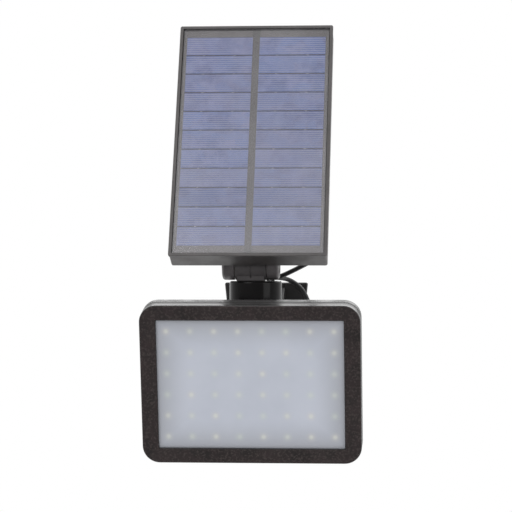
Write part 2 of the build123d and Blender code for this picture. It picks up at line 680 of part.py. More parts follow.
def tray_shell():
    """The tray's open box with its lip."""
    lip_y = (PANEL_FRONT_Y, PANEL_FRONT_Y + LIP_DEPTH)
    lip = slab(PANEL_WIDTH, PANEL_LENGTH, lip_y, PANEL_MIDDLE_Z, LIP_CORNER)
    lip = chamfer(lip.faces().sort_by(Axis.Y)[0].edges(), LIP_CHAMFER)
    body = slab(TRAY_WIDTH, TRAY_LENGTH, (lip_y[1], PANEL_REAR_Y), PANEL_MIDDLE_Z, LIP_CORNER)
    body = fillet(body.faces().sort_by(Axis.Y)[-1].edges(), TRAY_ROUNDING)
    tray = lip + body
    laminate_y = (PANEL_FRONT_Y, BACKING_REAR_Y)
    tray -= slab(OPENING_WIDTH, OPENING_LENGTH, laminate_y, PANEL_MIDDLE_Z, LAMINATE_CORNER)
    cavity_y = (BACKING_REAR_Y, PANEL_REAR_Y - TRAY_FLOOR)
    return tray - slab(CAVITY_WIDTH, CAVITY_LENGTH, cavity_y, PANEL_MIDDLE_Z)


def tray_inner_ribs():
    """The ribs inside the tray that hold the laminate up, both ways."""
    rib_y = (BACKING_REAR_Y, PANEL_REAR_Y - TRAY_FLOOR + MERGE)
    half_width = CAVITY_WIDTH / 2 + MERGE
    half_length = CAVITY_LENGTH / 2 + MERGE
    ends = (PANEL_MIDDLE_Z - half_length, PANEL_MIDDLE_Z + half_length)
    ribs = [block((x - TRAY_RIB_HALF, x + TRAY_RIB_HALF), rib_y, ends) for x in TRAY_RIB_X]
    for rise in TRAY_RIB_RISE:
        z = PANEL_MIDDLE_Z + rise
        ribs.append(block((-half_width, half_width), rib_y, (z - TRAY_RIB_HALF, z + TRAY_RIB_HALF)))
    return ribs


def panel_tray():
    """Moulded tray with a lip round the front, and ribs inside it and on its back."""
    tray = tray_shell()
    for rib in tray_inner_ribs():
        tray += rib
    for x in (-BACK_RIB_X, 0, BACK_RIB_X):
        tray += back_rib((x, x), (BACK_RIB_Z[0], BACK_RIB_Z[-1]))
    for z in BACK_RIB_Z:
        tray += back_rib((-BACK_RIB_X, BACK_RIB_X), (z, z))
    floor_y = (PANEL_REAR_Y - TRAY_FLOOR, PANEL_REAR_Y)
    for x, z in bracket_screw_places():
        tray += rod_y(TRAY_BOSS_RADIUS, (PANEL_REAR_Y - TRAY_BOSS_DEPTH, PANEL_REAR_Y - MERGE), x, z)
        tray -= rod_y(SCREW_RADIUS, (PANEL_REAR_Y - TRAY_SCREW_DEPTH, PANEL_REAR_Y), x, z)
    for x, z in junction_screw_places():
        tray -= rod_y(TRAY_PILOT_RADIUS, floor_y, x, z)
    return tray - rod_y(GLAND_HOLE_RADIUS, floor_y, PANEL_GLAND_X, PANEL_GLAND_Z)


def back_rib(x_range, z_range):
    """A low rib on the back of the tray, along X or Z."""
    half = BACK_RIB_WIDTH / 2
    sides = (x_range[0] - half, x_range[1] + half)
    ends = (z_range[0] - half, z_range[1] + half)
    return block(sides, (PANEL_REAR_Y - MERGE, PANEL_REAR_Y + BACK_RIB_HEIGHT), ends)


def panel_backing():
    """Backing board that the cells are soldered to."""
    return slab(GLASS_WIDTH, GLASS_LENGTH, (BACKING_Y, BACKING_REAR_Y), PANEL_MIDDLE_Z)


def solar_cells():
    """Two columns of cell strips."""
    strips = []
    for column in (-1, 1):
        x = column * (COLUMN_GAP + CELL_WIDTH) / 2
        for row in range(CELL_ROWS):
            z = CELLS_MIDDLE_Z + (row - (CELL_ROWS - 1) / 2) * CELL_PITCH
            strips.append(slab(CELL_WIDTH, CELL_HEIGHT, (CELL_Y, RIBBON_Y), z, middle_x=x))
    return group(strips)


def cell_ribbons():
    """Tinned ribbons behind the cells, two to a column, that join them in series."""
    length = CELL_ROWS * CELL_PITCH - RIBBON_SHORTER
    ribbons = []
    for column in (-1, 1):
        for offset in (-RIBBON_OFFSET, RIBBON_OFFSET):
            x = column * (COLUMN_GAP + CELL_WIDTH) / 2 + offset
            ribbons.append(slab(RIBBON_WIDTH, length, (RIBBON_Y, BACKING_Y), CELLS_MIDDLE_Z, middle_x=x))
    return group(ribbons)


def cover_glass():
    """Clear cover over the cells, sunk a little behind the lip."""
    glass = slab(GLASS_WIDTH, GLASS_LENGTH, (GLASS_Y, CELL_Y), PANEL_MIDDLE_Z)
    return chamfer(glass.faces().sort_by(Axis.Y)[0].edges(), GLASS_CHAMFER)


def panel_seal():
    """Bead of sealant between the laminate's edges and the tray."""
    y_range = (GLASS_Y + PANEL_SEAL_SINK, BACKING_REAR_Y)
    outer = slab(OPENING_WIDTH, OPENING_LENGTH, y_range, PANEL_MIDDLE_Z, LAMINATE_CORNER)
    return outer - slab(GLASS_WIDTH, GLASS_LENGTH, y_range, PANEL_MIDDLE_Z)


def blocking_diode():
    """Diode on the back of the laminate that stops the battery discharging at night."""
    y = BACKING_REAR_Y + DIODE_AXIS
    left, right = DIODE_X
    diode = rod_x(DIODE_RADIUS, DIODE_X, y, DIODE_Z)
    diode += rod_x(DIODE_LEAD_RADIUS, (left - DIODE_LEAD_LENGTH, left), y, DIODE_Z)
    diode += rod_x(DIODE_LEAD_RADIUS, (right, right + DIODE_LEAD_LENGTH), y, DIODE_Z)
    for x in (left - DIODE_PAD_SIZE, right + DIODE_PAD_SIZE):
        pad_y = (BACKING_REAR_Y, BACKING_REAR_Y + DIODE_PAD_HEIGHT)
        diode += slab(DIODE_PAD_SIZE, DIODE_PAD_SIZE, pad_y, DIODE_Z, middle_x=x)
    return diode


def junction_screw_places():
    """The junction cover's two screws."""
    z = JUNCTION_Z + JUNCTION_SCREW_RISE
    return [(JUNCTION_X + side * JUNCTION_SCREW_X, z) for side in (-1, 1)]


def junction_cover():
    """Cover over the panel's cable joint, with the gland's hole."""
    y_range = (PANEL_REAR_Y, PANEL_REAR_Y + JUNCTION_DEPTH)
    cover = slab(JUNCTION_WIDTH, JUNCTION_HEIGHT, y_range, JUNCTION_Z, JUNCTION_CORNER, JUNCTION_X)
    cover = fillet(cover.faces().sort_by(Axis.Y)[-1].edges(), JUNCTION_ROUNDING)
    inside = (PANEL_REAR_Y, PANEL_REAR_Y + JUNCTION_DEPTH - JUNCTION_ROOF)
    room_width = JUNCTION_WIDTH - 2 * JUNCTION_WALL
    room_height = JUNCTION_HEIGHT - 2 * JUNCTION_WALL
    room = slab(room_width, room_height, inside, JUNCTION_Z, JUNCTION_CORNER - MERGE, JUNCTION_X)
    for x, z in junction_screw_places():
        room -= rod_y(JUNCTION_PILLAR_RADIUS, inside, x, z)
    cover -= room
    for x, z in junction_screw_places():
        cover -= rod_y(JUNCTION_HOLE_RADIUS, y_range, x, z)
    return cover - rod_y(GLAND_HOLE_RADIUS, y_range, PANEL_GLAND_X, PANEL_GLAND_Z)


def junction_screws():
    """Two small screws that hold the junction cover."""
    seat = PANEL_REAR_Y + JUNCTION_DEPTH
    length = JUNCTION_DEPTH + JUNCTION_SCREW_BITE
    sizes = (length, JUNCTION_HEAD_RADIUS, JUNCTION_SCREW_RADIUS, JUNCTION_HEAD_HEIGHT)
    return group([pan_head_screw(x, z, seat, *sizes) for x, z in junction_screw_places()])


def cable_gland(x, z, seat_y):
    """A gland along Y: hexagonal nut, then a tapered relief that the cable leaves towards +Y."""
    nut_end = seat_y + GLAND_NUT_LENGTH
    start = Plane(origin=(x, seat_y, z), x_dir=(1, 0, 0), z_dir=(0, 1, 0))
    nut = extrude(start * RegularPolygon(GLAND_NUT_RADIUS, 6, major_radius=False), GLAND_NUT_LENGTH)
    nut = fillet(nut.edges().filter_by(Axis.Y), GLAND_NUT_ROUNDING)
    relief = Plane(origin=(x, nut_end, z), x_dir=(1, 0, 0), z_dir=(0, 1, 0))
    relief = extrude(relief * Circle(GLAND_RELIEF_RADIUS), GLAND_RELIEF_LENGTH, taper=GLAND_TAPER)
    thread = rod_y(GLAND_THREAD_RADIUS, (seat_y - GLAND_THREAD_LENGTH, seat_y), x, z)
    bore = rod_y(CABLE_RADIUS + BORE_CLEARANCE, (nut_end, nut_end + GLAND_RELIEF_LENGTH), x, z)
    return nut + relief + thread - bore


def panel_gland():
    """Gland that the cable leaves the panel by."""
    return cable_gland(PANEL_GLAND_X, PANEL_GLAND_Z, PANEL_REAR_Y + JUNCTION_DEPTH)


def bracket_screw_places():
    """The panel bracket's four screws."""
    return four_corners(BRACKET_SCREW_X, BRACKET_SCREW_Z, TILT_Z + BRACKET_SCREW_RISE)


def ear(x_range, hinge_y, hinge_z, radius, root_y, root_reach):
    """A hinge ear: round at the hinge, and spreading to its root on a mounting plate."""
    side = Plane(origin=(x_range[0], 0, 0), x_dir=(0, 1, 0), z_dir=(1, 0, 0))
    ring = Pos(hinge_y, hinge_z) * Circle(radius)
    root = Line((root_y, hinge_z + root_reach[0]), (root_y, hinge_z + root_reach[1]))
    outline = make_hull(ring.edges() + [root.edge()])
    return extrude(side * outline, x_range[1] - x_range[0])


def panel_bracket():
    """Plate on the back of the tray with the two ears of the panel's hinge."""
    rear = PANEL_REAR_Y + BRACKET_THICKNESS
    middle = (BRACKET_LOW + BRACKET_HIGH) / 2
    plate = slab(BRACKET_WIDTH, BRACKET_HIGH - BRACKET_LOW, (PANEL_REAR_Y, rear), middle, BRACKET_CORNER)
    plate = chamfer(plate.faces().sort_by(Axis.Y)[-1].edges(), EDGE_CHAMFER)
    for side in (-1, 1):
        limits = sorted((side * EAR_INSIDE, side * EAR_OUTSIDE))
        piece = ear(limits, PAN_Y, TILT_Z, EAR_RADIUS, PANEL_REAR_Y + EAR_ROOT_DEPTH, EAR_ROOT_REACH)
        outside = piece.faces().filter_by(Axis.X).sort_by(Axis.X)[0 if side < 0 else -1]
        piece = fillet(outside.edges(), EAR_ROUNDING)
        pocket = sorted((side * HEX_SEAT, side * (EAR_OUTSIDE + MERGE)))
        plate += piece - hex_bar(TILT_HEX, pocket, PAN_Y, TILT_Z)
    plate -= rod_x(TILT_BOLT_RADIUS, (-EAR_OUTSIDE, EAR_OUTSIDE), PAN_Y, TILT_Z)
    for x, z in bracket_screw_places():
        plate -= rod_y(BRACKET_HOLE_RADIUS, (PANEL_REAR_Y, rear), x, z)
    rib_x = (-EAR_INSIDE - MERGE, EAR_INSIDE + MERGE)
    rib_z = (TILT_Z + BRACKET_RIB_RISE[0], TILT_Z + BRACKET_RIB_RISE[1])
    return plate + block(rib_x, (rear - MERGE, rear + BRACKET_RIB_HEIGHT), rib_z)


def panel_bracket_screws():
    """Four screws that hold the panel bracket on the tray."""
    seat = PANEL_REAR_Y + BRACKET_THICKNESS
    places = bracket_screw_places()
    sizes = (BRACKET_SCREW_LENGTH, SCREW_HEAD_RADIUS, SCREW_RADIUS)
    return group([pan_head_screw(x, z, seat, *sizes) for x, z in places])


def tilt_bolt():
    """Hexagon bolt through the panel's hinge, its head in one ear's pocket."""
    bolt = rod_x(TILT_BOLT_RADIUS, (-HEX_SEAT, EAR_OUTSIDE - TILT_BOLT_SINK), PAN_Y, TILT_Z)
    return bolt + hex_bar(TILT_HEX, (-HEX_SEAT - TILT_HEAD_HEIGHT, -HEX_SEAT), PAN_Y, TILT_Z)


def tilt_nut():
    """Lock nut on the panel hinge's bolt, in the other ear's pocket."""
    limits = (HEX_SEAT, HEX_SEAT + TILT_NUT_HEIGHT)
    return hex_bar(TILT_HEX, limits, PAN_Y, TILT_Z) - rod_x(TILT_BOLT_RADIUS, limits, PAN_Y, TILT_Z)


def tilt_washers():
    """Friction washers between the ears and the turret's barrel."""
    washers = []
    for side in (-1, 1):
        limits = sorted((side * (EAR_INSIDE - TILT_WASHER), side * EAR_INSIDE))
        hole = rod_x(TILT_BOLT_RADIUS, limits, PAN_Y, TILT_Z)
        washers.append(rod_x(TILT_WASHER_RADIUS, limits, PAN_Y, TILT_Z) - hole)
    return group(washers)


# ---- lamp head (drawn upright) ------------------------------------------------------

def front_bezel():
    """Front frame of the lamp head, with the window and the screw bosses."""
    y_range = (HEAD_FRONT_Y, SEAM_Y)
    bezel = slab(HEAD_WIDTH, HEAD_HEIGHT, y_range, HEAD_MIDDLE_Z, HEAD_CORNER)
    bezel = fillet(bezel.faces().sort_by(Axis.Y)[0].edges(), BEZEL_ROUNDING)
    inside = (DIFFUSER_Y, SEAM_Y)
    room = slab(HEAD_WIDTH - 2 * SHELL_WALL, HEAD_HEIGHT - 2 * SHELL_WALL, inside,
                HEAD_MIDDLE_Z, HEAD_CORNER - SHELL_WALL)
    for x, z in four_corners(BOSS_X, BOSS_Z, HEAD_MIDDLE_Z):
        room -= rod_y(BOSS_RADIUS, inside, x, z)
    bezel -= room
    window = slab(WINDOW_WIDTH, WINDOW_HEIGHT, (HEAD_FRONT_Y, DIFFUSER_Y), HEAD_MIDDLE_Z)
    bezel -= window
    edge = Plane(origin=(0, HEAD_FRONT_Y, HEAD_MIDDLE_Z), x_dir=(1, 0, 0), z_dir=(0, 1, 0))
    opening = Rectangle(WINDOW_WIDTH + 2 * WINDOW_BEVEL, WINDOW_HEIGHT + 2 * WINDOW_BEVEL)
    bezel -= extrude(edge * opening, WINDOW_BEVEL, taper=45)
    for x, z in four_corners(BOSS_X, BOSS_Z, HEAD_MIDDLE_Z):
        bezel -= rod_y(SCREW_RADIUS, (DIFFUSER_Y + MERGE, SEAM_Y), x, z)
    return bezel


def diffuser():
    """Frosted window sheet."""
    return slab(INSERT_WIDTH, INSERT_HEIGHT, (DIFFUSER_Y, DIFFUSER_REAR_Y), HEAD_MIDDLE_Z)


def reflector_frame():
    """White frame that spaces the LED board behind the diffuser."""
    y_range = (DIFFUSER_REAR_Y, BOARD_Y)
    outer = slab(INSERT_WIDTH, INSERT_HEIGHT, y_range, HEAD_MIDDLE_Z)
    inner_width = WINDOW_WIDTH - 2 * REFLECTOR_STEP
    inner_height = WINDOW_HEIGHT - 2 * REFLECTOR_STEP
    return outer - slab(inner_width, inner_height, y_range, HEAD_MIDDLE_Z)


def led_board():
    """Board that carries the LEDs."""
    return slab(INSERT_WIDTH, INSERT_HEIGHT, (BOARD_Y, BOARD_REAR_Y), HEAD_MIDDLE_Z)


def leds():
    """The LEDs, in rows on the board's front."""
    width, depth, height = LED_SIZE
    lamps = []
    for column in range(LED_COLUMNS):
        x = (column - (LED_COLUMNS - 1) / 2) * LED_PITCH_X
        for row in range(LED_ROWS):
            z = HEAD_MIDDLE_Z + (row - (LED_ROWS - 1) / 2) * LED_PITCH_Z
            lamps.append(slab(width, height, (BOARD_Y - depth, BOARD_Y), z, middle_x=x))
    return group(lamps)


def head_seal():
    """Rubber seal in the seam between the bezel and the rear housing."""
    y_range = (SEAM_Y, SEAM_Y + LID_SEAL)
    width = HEAD_WIDTH - 2 * SEAL_INSET
    height = HEAD_HEIGHT - 2 * SEAL_INSET
    ring = slab(width, height, y_range, HEAD_MIDDLE_Z, HEAD_CORNER - SEAL_INSET)
    ring -= slab(HEAD_WIDTH - 2 * SHELL_WALL, HEAD_HEIGHT - 2 * SHELL_WALL, y_range,
                 HEAD_MIDDLE_Z, HEAD_CORNER - SHELL_WALL)
    return ring


def housing_shell():
    """The rear shell with the bay standing out of its back, hollowed."""
    front = SEAM_Y + LID_SEAL
    shell = slab(HEAD_WIDTH, HEAD_HEIGHT, (front, HEAD_REAR_Y), HEAD_MIDDLE_Z, HEAD_CORNER)
    shell = fillet(shell.faces().sort_by(Axis.Y)[-1].edges(), SHELL_ROUNDING)
    bay = slab(BAY_WIDTH, BAY_HEIGHT, (HEAD_REAR_Y - SHELL_ROUNDING, BAY_REAR_Y), BAY_MIDDLE_Z, BAY_CORNER)
    shell += fillet(bay.faces().sort_by(Axis.Y)[-1].edges(), SHELL_ROUNDING)
    shell = add_housing_ribs(shell)
    room = slab(HEAD_WIDTH - 2 * SHELL_WALL, HEAD_HEIGHT - 2 * SHELL_WALL, (front, HEAD_REAR_Y - SHELL_BACK),
                HEAD_MIDDLE_Z, HEAD_CORNER - SHELL_WALL)
    for x, z in four_corners(BOSS_X, BOSS_Z, HEAD_MIDDLE_Z):
        room -= rod_y(BOSS_RADIUS, (front, HEAD_REAR_Y), x, z)
    bay_y = (HEAD_REAR_Y - SHELL_BACK - MERGE, BAY_INSIDE_Y)
    bay_room = slab(BAY_WIDTH - 2 * SHELL_BACK, BAY_HEIGHT - 2 * SHELL_BACK, bay_y,
                    BAY_MIDDLE_Z, BAY_CORNER - SHELL_BACK)
    return shell - room - bay_room


def add_housing_ribs(shell):
    """Upright ribs on the shell's back: one at each side, and a row above the bay."""
    half = HOUSING_RIB_HALF
    rib_y = (HEAD_REAR_Y - MERGE, HEAD_REAR_Y + HOUSING_RIB_HEIGHT)
    for x in SIDE_RIB_X:
        side_z = (HEAD_MIDDLE_Z - SIDE_RIB_REACH, HEAD_MIDDLE_Z + SIDE_RIB_REACH)
        shell += block((x - half, x + half), rib_y, side_z)
    for step in range(HOUSING_RIBS):
        x = (step - (HOUSING_RIBS - 1) / 2) * HOUSING_RIB_PITCH
        shell += block((x - half, x + half), rib_y, (BAY_TOP_Z - 2 * MERGE, HEAD_MIDDLE_Z + TOP_RIB_REACH))
    return shell


def rear_housing():
    """Rear shell of the lamp head, with its board stops and its holes."""
    front = SEAM_Y + LID_SEAL
    shell = housing_shell()
    for x in BOARD_STOP_X:
        stop_z = (HEAD_MIDDLE_Z - BOARD_STOP_REACH, HEAD_MIDDLE_Z + BOARD_STOP_REACH)
        stop_x = (x - HOUSING_RIB_HALF, x + HOUSING_RIB_HALF)
        shell += block(stop_x, (BOARD_REAR_Y, HEAD_REAR_Y - MERGE), stop_z)
    for x, z in four_corners(BOSS_X, BOSS_Z, HEAD_MIDDLE_Z):
        shell -= rod_y(HOUSING_HOLE_RADIUS, (front, HEAD_REAR_Y), x, z)
        shell -= rod_y(SCREW_RECESS_RADIUS, (HEAD_REAR_Y - SCREW_RECESS, HEAD_REAR_Y + MERGE), x, z)
    for x, z in lamp_bracket_screw_places():
        shell -= rod_y(SCREW_RADIUS, (BAY_INSIDE_Y, BAY_REAR_Y), x, z)
    shell += rod_y(BUTTON_COLLAR, (BAY_REAR_Y - MERGE, BAY_REAR_Y + COLLAR_HEIGHT), BUTTON_X, BUTTON_Z)
    button_y = (BAY_INSIDE_Y - MERGE, BAY_REAR_Y + 2 * MERGE)
    shell -= rod_y(BUTTON_RADIUS + BUTTON_GAP, button_y, BUTTON_X, BUTTON_Z)
    return shell - rod_y(GLAND_HOLE_RADIUS, (BAY_INSIDE_Y, BAY_REAR_Y), LAMP_GLAND_X, LAMP_GLAND_Z)


def housing_screws():
    """Four screws in the corners, from the back into the bezel."""
    seat = HEAD_REAR_Y - SCREW_RECESS
    places = four_corners(BOSS_X, BOSS_Z, HEAD_MIDDLE_Z)
    sizes = (HOUSING_SCREW_LENGTH, HOUSING_HEAD_RADIUS, SCREW_RADIUS)
    return group([pan_head_screw(x, z, seat, *sizes) for x, z in places])


def battery_holder():
    """Open tray with end walls that holds the two battery cells."""
    length = BATTERY_LENGTH + 2 * HOLDER_MARGIN
    height = BATTERY_PITCH + 2 * (BATTERY_RADIUS + HOLDER_WALL)
    floor_y = (BAY_INSIDE_Y - HOLDER_FLOOR, BAY_INSIDE_Y)
    holder = slab(length, height, floor_y, BAY_MIDDLE_Z, middle_x=BATTERY_X)
    wall_y = (BATTERY_Y - HOLDER_WALL_REACH, BAY_INSIDE_Y)
    for side in (-1, 1):
        x = BATTERY_X + side * (length - HOLDER_WALL) / 2
        holder += slab(HOLDER_WALL, height, wall_y, BAY_MIDDLE_Z, middle_x=x)
    for screw in lamp_bracket_screw_places():
        holder -= rod_y(TRAY_BOSS_RADIUS, (BAY_INSIDE_Y - HOLDER_SCREW_ROOM, BAY_INSIDE_Y), *screw)
    return holder


def battery_cells():
    """Two rechargeable cells with their positive caps."""
    cells = []
    for side in (-1, 1):
        z = BAY_MIDDLE_Z + side * BATTERY_PITCH / 2
        start = BATTERY_X - BATTERY_LENGTH / 2
        end = start + BATTERY_LENGTH
        can = rod_x(BATTERY_RADIUS, (start, end - BATTERY_CAP_HEIGHT), BATTERY_Y, z)
        can = fillet(can.edges().filter_by(GeomType.CIRCLE), BATTERY_ROUNDING)
        cells.append(can + rod_x(BATTERY_CAP_RADIUS, (end - 2 * BATTERY_CAP_HEIGHT, end), BATTERY_Y, z))
    return group(cells)


def controller_board():
    """Charging and switching circuit board, on two feet on the bay's wall."""
    board = block(CONTROLLER_X, (CONTROLLER_Y - BOARD_THICKNESS, CONTROLLER_Y), CONTROLLER_Z)
    foot_z = BAY_MIDDLE_Z + CONTROLLER_FOOT_RISE
    for x in (CONTROLLER_X[0] + CONTROLLER_FOOT_INSET, CONTROLLER_X[1] - CONTROLLER_FOOT_INSET):
        board += rod_y(CONTROLLER_FOOT_RADIUS, (CONTROLLER_Y, BAY_INSIDE_Y), x, foot_z)
    return board


def controller_parts():
    """Main components on the controller board."""
    face = CONTROLLER_Y - BOARD_THICKNESS
    middle = BAY_MIDDLE_Z
    chip = slab(CHIP_SIZE[0], CHIP_SIZE[2], (face - CHIP_SIZE[1], face), middle, middle_x=CHIP_X)
    coil = rod_y(COIL_RADIUS, (face - COIL_HEIGHT, face), COIL_X, middle + COIL_RISE)
    can_y = (face - CAPACITOR_HEIGHT, face)
    capacitor = rod_y(CAPACITOR_RADIUS, can_y, CAPACITOR_X, middle + CAPACITOR_RISE)
    width, depth, height = CONNECTOR_SIZE
    connector = slab(width, height, (face - depth, face), middle + CONNECTOR_RISE, middle_x=CONNECTOR_X)
    return group([chip, coil, capacitor, connector])


def switch_body():
    """Push switch behind the button, on the inside of the bay's wall."""
    front = BAY_INSIDE_Y - SWITCH_DEPTH
    body = slab(SWITCH_SIZE, SWITCH_SIZE, (front, BAY_INSIDE_Y), BUTTON_Z, MERGE, BUTTON_X)
    well = (front + SWITCH_FLOOR, BAY_INSIDE_Y)
    return body - rod_y(BUTTON_FLANGE_RADIUS + BUTTON_GAP, well, BUTTON_X, BUTTON_Z)


def switch_spring():
    """Return spring under the button, as its outer shape."""
    start = BAY_INSIDE_Y - SWITCH_DEPTH + SWITCH_FLOOR
    y_range = (start, BAY_INSIDE_Y - BUTTON_GAP - BUTTON_FLANGE_THICKNESS)
    outer = rod_y(SPRING_RADIUS, y_range, BUTTON_X, BUTTON_Z)
    return outer - rod_y(SPRING_RADIUS - SPRING_WALL, y_range, BUTTON_X, BUTTON_Z)


def switch_cap():
    """Push button for the operating mode, with the flange that keeps it in."""
    back = BAY_REAR_Y + BUTTON_STANDOUT
    flange_end = BAY_INSIDE_Y - BUTTON_GAP
    cap = rod_y(BUTTON_RADIUS, (flange_end, back), BUTTON_X, BUTTON_Z)
    cap = fillet(cap.faces().sort_by(Axis.Y)[-1].edges(), BUTTON_ROUNDING)
    flange = (flange_end - BUTTON_FLANGE_THICKNESS, flange_end)
    return cap + rod_y(BUTTON_FLANGE_RADIUS, flange, BUTTON_X, BUTTON_Z)


def lamp_gland():
    """Gland that the cable enters the lamp head by."""
    return cable_gland(LAMP_GLAND_X, LAMP_GLAND_Z, BAY_REAR_Y)


def lamp_bracket_screw_places():
    """The lamp bracket's four screws."""
    return four_corners(LAMP_SCREW_X, LAMP_SCREW_Z, LAMP_HINGE_Z)


def lamp_bracket():
    """Plate on the battery bay with the two ears of the lamp's hinge."""
    rear = BAY_REAR_Y + LAMP_BRACKET_THICKNESS
    width, height = LAMP_BRACKET_WIDTH, LAMP_BRACKET_HEIGHT
    plate = slab(width, height, (BAY_REAR_Y, rear), LAMP_HINGE_Z, BRACKET_CORNER)
    plate = chamfer(plate.faces().sort_by(Axis.Y)[-1].edges(), EDGE_CHAMFER)
    for side in (-1, 1):
        limits = sorted((side * LAMP_EAR_INSIDE, side * LAMP_EAR_OUTSIDE))
        root = BAY_REAR_Y + EAR_ROOT_DEPTH
        plate += ear(limits, LAMP_HINGE_Y, LAMP_HINGE_Z, LAMP_EAR_RADIUS, root, LAMP_EAR_ROOT_REACH)
    bolt_x = (-LAMP_EAR_OUTSIDE - MERGE, LAMP_EAR_OUTSIDE + MERGE)
    plate -= rod_x(LAMP_BOLT_RADIUS, bolt_x, LAMP_HINGE_Y, LAMP_HINGE_Z)
    for x, z in lamp_bracket_screw_places():
        plate -= rod_y(BRACKET_HOLE_RADIUS, (BAY_REAR_Y, rear), x, z)
    return plate


def lamp_bracket_screws():
    """Four screws that hold the lamp bracket on the battery bay."""
    seat = BAY_REAR_Y + LAMP_BRACKET_THICKNESS
    places = lamp_bracket_screw_places()
    sizes = (LAMP_SCREW_LENGTH, SCREW_HEAD_RADIUS, SCREW_RADIUS)
    return group([pan_head_screw(x, z, seat, *sizes) for x, z in places])


def lamp_bolt():
    """Hexagon bolt through the lamp's hinge."""
    shank = (-LAMP_EAR_OUTSIDE, LAMP_EAR_OUTSIDE + LAMP_BOLT_STANDOUT)
    head = (-LAMP_EAR_OUTSIDE - LAMP_HEAD_HEIGHT, -LAMP_EAR_OUTSIDE)
    bolt = rod_x(LAMP_BOLT_RADIUS, shank, LAMP_HINGE_Y, LAMP_HINGE_Z)
    return bolt + hex_bar(LAMP_HEX, head, LAMP_HINGE_Y, LAMP_HINGE_Z)


def lamp_nut():
    """Lock nut on the lamp hinge's bolt."""
    limits = (LAMP_EAR_OUTSIDE, LAMP_EAR_OUTSIDE + LAMP_NUT_HEIGHT)
    nut = hex_bar(LAMP_HEX, limits, LAMP_HINGE_Y, LAMP_HINGE_Z)
    return nut - rod_x(LAMP_BOLT_RADIUS, limits, LAMP_HINGE_Y, LAMP_HINGE_Z)


def lamp_washers():
    """Friction washers between the lamp bracket's ears and the arm's knuckle."""
    washers = []
    for side in (-1, 1):
        limits = sorted((side * (LAMP_EAR_INSIDE - LAMP_WASHER), side * LAMP_EAR_INSIDE))
        hole = rod_x(LAMP_BOLT_RADIUS, limits, LAMP_HINGE_Y, LAMP_HINGE_Z)
        washers.append(rod_x(LAMP_WASHER_RADIUS, limits, LAMP_HINGE_Y, LAMP_HINGE_Z) - hole)
    return group(washers)


# ---- cable --------------------------------------------------------------------------

def bend_radii(route):
    """The largest arc that each corner's two runs leave room for."""
    points = [Vector(*point) for point in route]
    radii = []
    for before, corner, after in zip(points, points[1:], points[2:]):
        shorter = min((corner - before).length, (after - corner).length)
        turn = math.radians((corner - before).get_angle(after - corner))
        radii.append(ARC_SHARE * shorter / math.tan(turn / 2))
    return radii


def lead(name, route):
    """A stretch of cable along its route, and its facts on the console."""
    radii = bend_radii(route)
    path = FilletPolyline(*route, radius=radii)
    start = Plane(origin=path @ 0, z_dir=path % 0)
    tube = sweep(start * Circle(CABLE_RADIUS), path=path)
    expected = math.pi * CABLE_RADIUS ** 2 * path.length
    print(f"{name}: length {path.length:.1f} mm, volume {tube.volume / expected:.4f} of section times length")
    print("   radii", [round(radius, 1) for radius in radii])
    return tube


# ---- all nodes ----------------------------------------------------------------------

WALL_AND_NECK = [
    wall_plate, arm_screws, support_arm, arm_cable_clip, pan_disc,
    pan_turret, pan_bolt, pan_washer, turret_cable_clip,
]
PANEL = [
    panel_tray, panel_backing, solar_cells, cell_ribbons, cover_glass, panel_seal,
    blocking_diode, junction_cover, junction_screws, panel_gland, panel_bracket,
    panel_bracket_screws, tilt_bolt, tilt_nut, tilt_washers,
]
HEAD = [
    front_bezel, diffuser, reflector_frame, led_board, leds, head_seal, rear_housing,
    housing_screws, battery_holder, battery_cells, controller_board, controller_parts,
    switch_body, switch_spring, switch_cap, lamp_gland, lamp_bracket,
    lamp_bracket_screws, lamp_bolt, lamp_nut, lamp_washers,
]
LEADS = {
    "panel_lead": PANEL_LEAD_ROUTE,
    "swivel_lead": SWIVEL_LEAD_ROUTE,
    "lamp_lead": LAMP_LEAD_ROUTE,
}

os.makedirs("parts", exist_ok=True)
for make in WALL_AND_NECK:
    export_step(make(), f"parts/{make.__name__}.step")
for make in PANEL:
    export_step(place_panel(make()), f"parts/{make.__name__}.step")
for make in HEAD:
    export_step(place_head(make()), f"parts/{make.__name__}.step")
for lead_name, lead_route in LEADS.items():
    export_step(lead(lead_name, lead_route), f"parts/{lead_name}.step")
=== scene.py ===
import json
import math

import bmesh
import bpy
from mathutils import Matrix, Vector


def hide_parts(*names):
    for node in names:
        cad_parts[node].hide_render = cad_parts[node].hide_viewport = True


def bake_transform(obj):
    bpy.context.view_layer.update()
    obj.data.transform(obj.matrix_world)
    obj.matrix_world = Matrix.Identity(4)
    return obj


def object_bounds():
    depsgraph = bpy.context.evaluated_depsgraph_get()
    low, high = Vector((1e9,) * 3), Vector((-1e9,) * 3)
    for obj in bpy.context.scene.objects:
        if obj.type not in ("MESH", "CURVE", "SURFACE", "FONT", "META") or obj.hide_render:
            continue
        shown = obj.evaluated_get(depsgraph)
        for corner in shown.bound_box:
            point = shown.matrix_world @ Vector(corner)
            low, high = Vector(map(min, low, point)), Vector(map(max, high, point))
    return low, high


# A wall-mounted solar flood light. Everything is in metres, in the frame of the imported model:
# +Z up, the wall at y = 0, the light faces -Y.

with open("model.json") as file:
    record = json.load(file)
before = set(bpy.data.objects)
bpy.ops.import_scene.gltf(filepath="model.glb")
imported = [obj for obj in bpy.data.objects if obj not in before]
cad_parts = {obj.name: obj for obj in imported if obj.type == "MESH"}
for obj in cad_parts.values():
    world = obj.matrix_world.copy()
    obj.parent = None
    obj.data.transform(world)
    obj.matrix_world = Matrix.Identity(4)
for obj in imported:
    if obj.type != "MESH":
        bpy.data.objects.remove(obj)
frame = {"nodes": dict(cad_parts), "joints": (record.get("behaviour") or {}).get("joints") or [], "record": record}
cad_low, cad_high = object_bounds()
NODES = frame["nodes"]

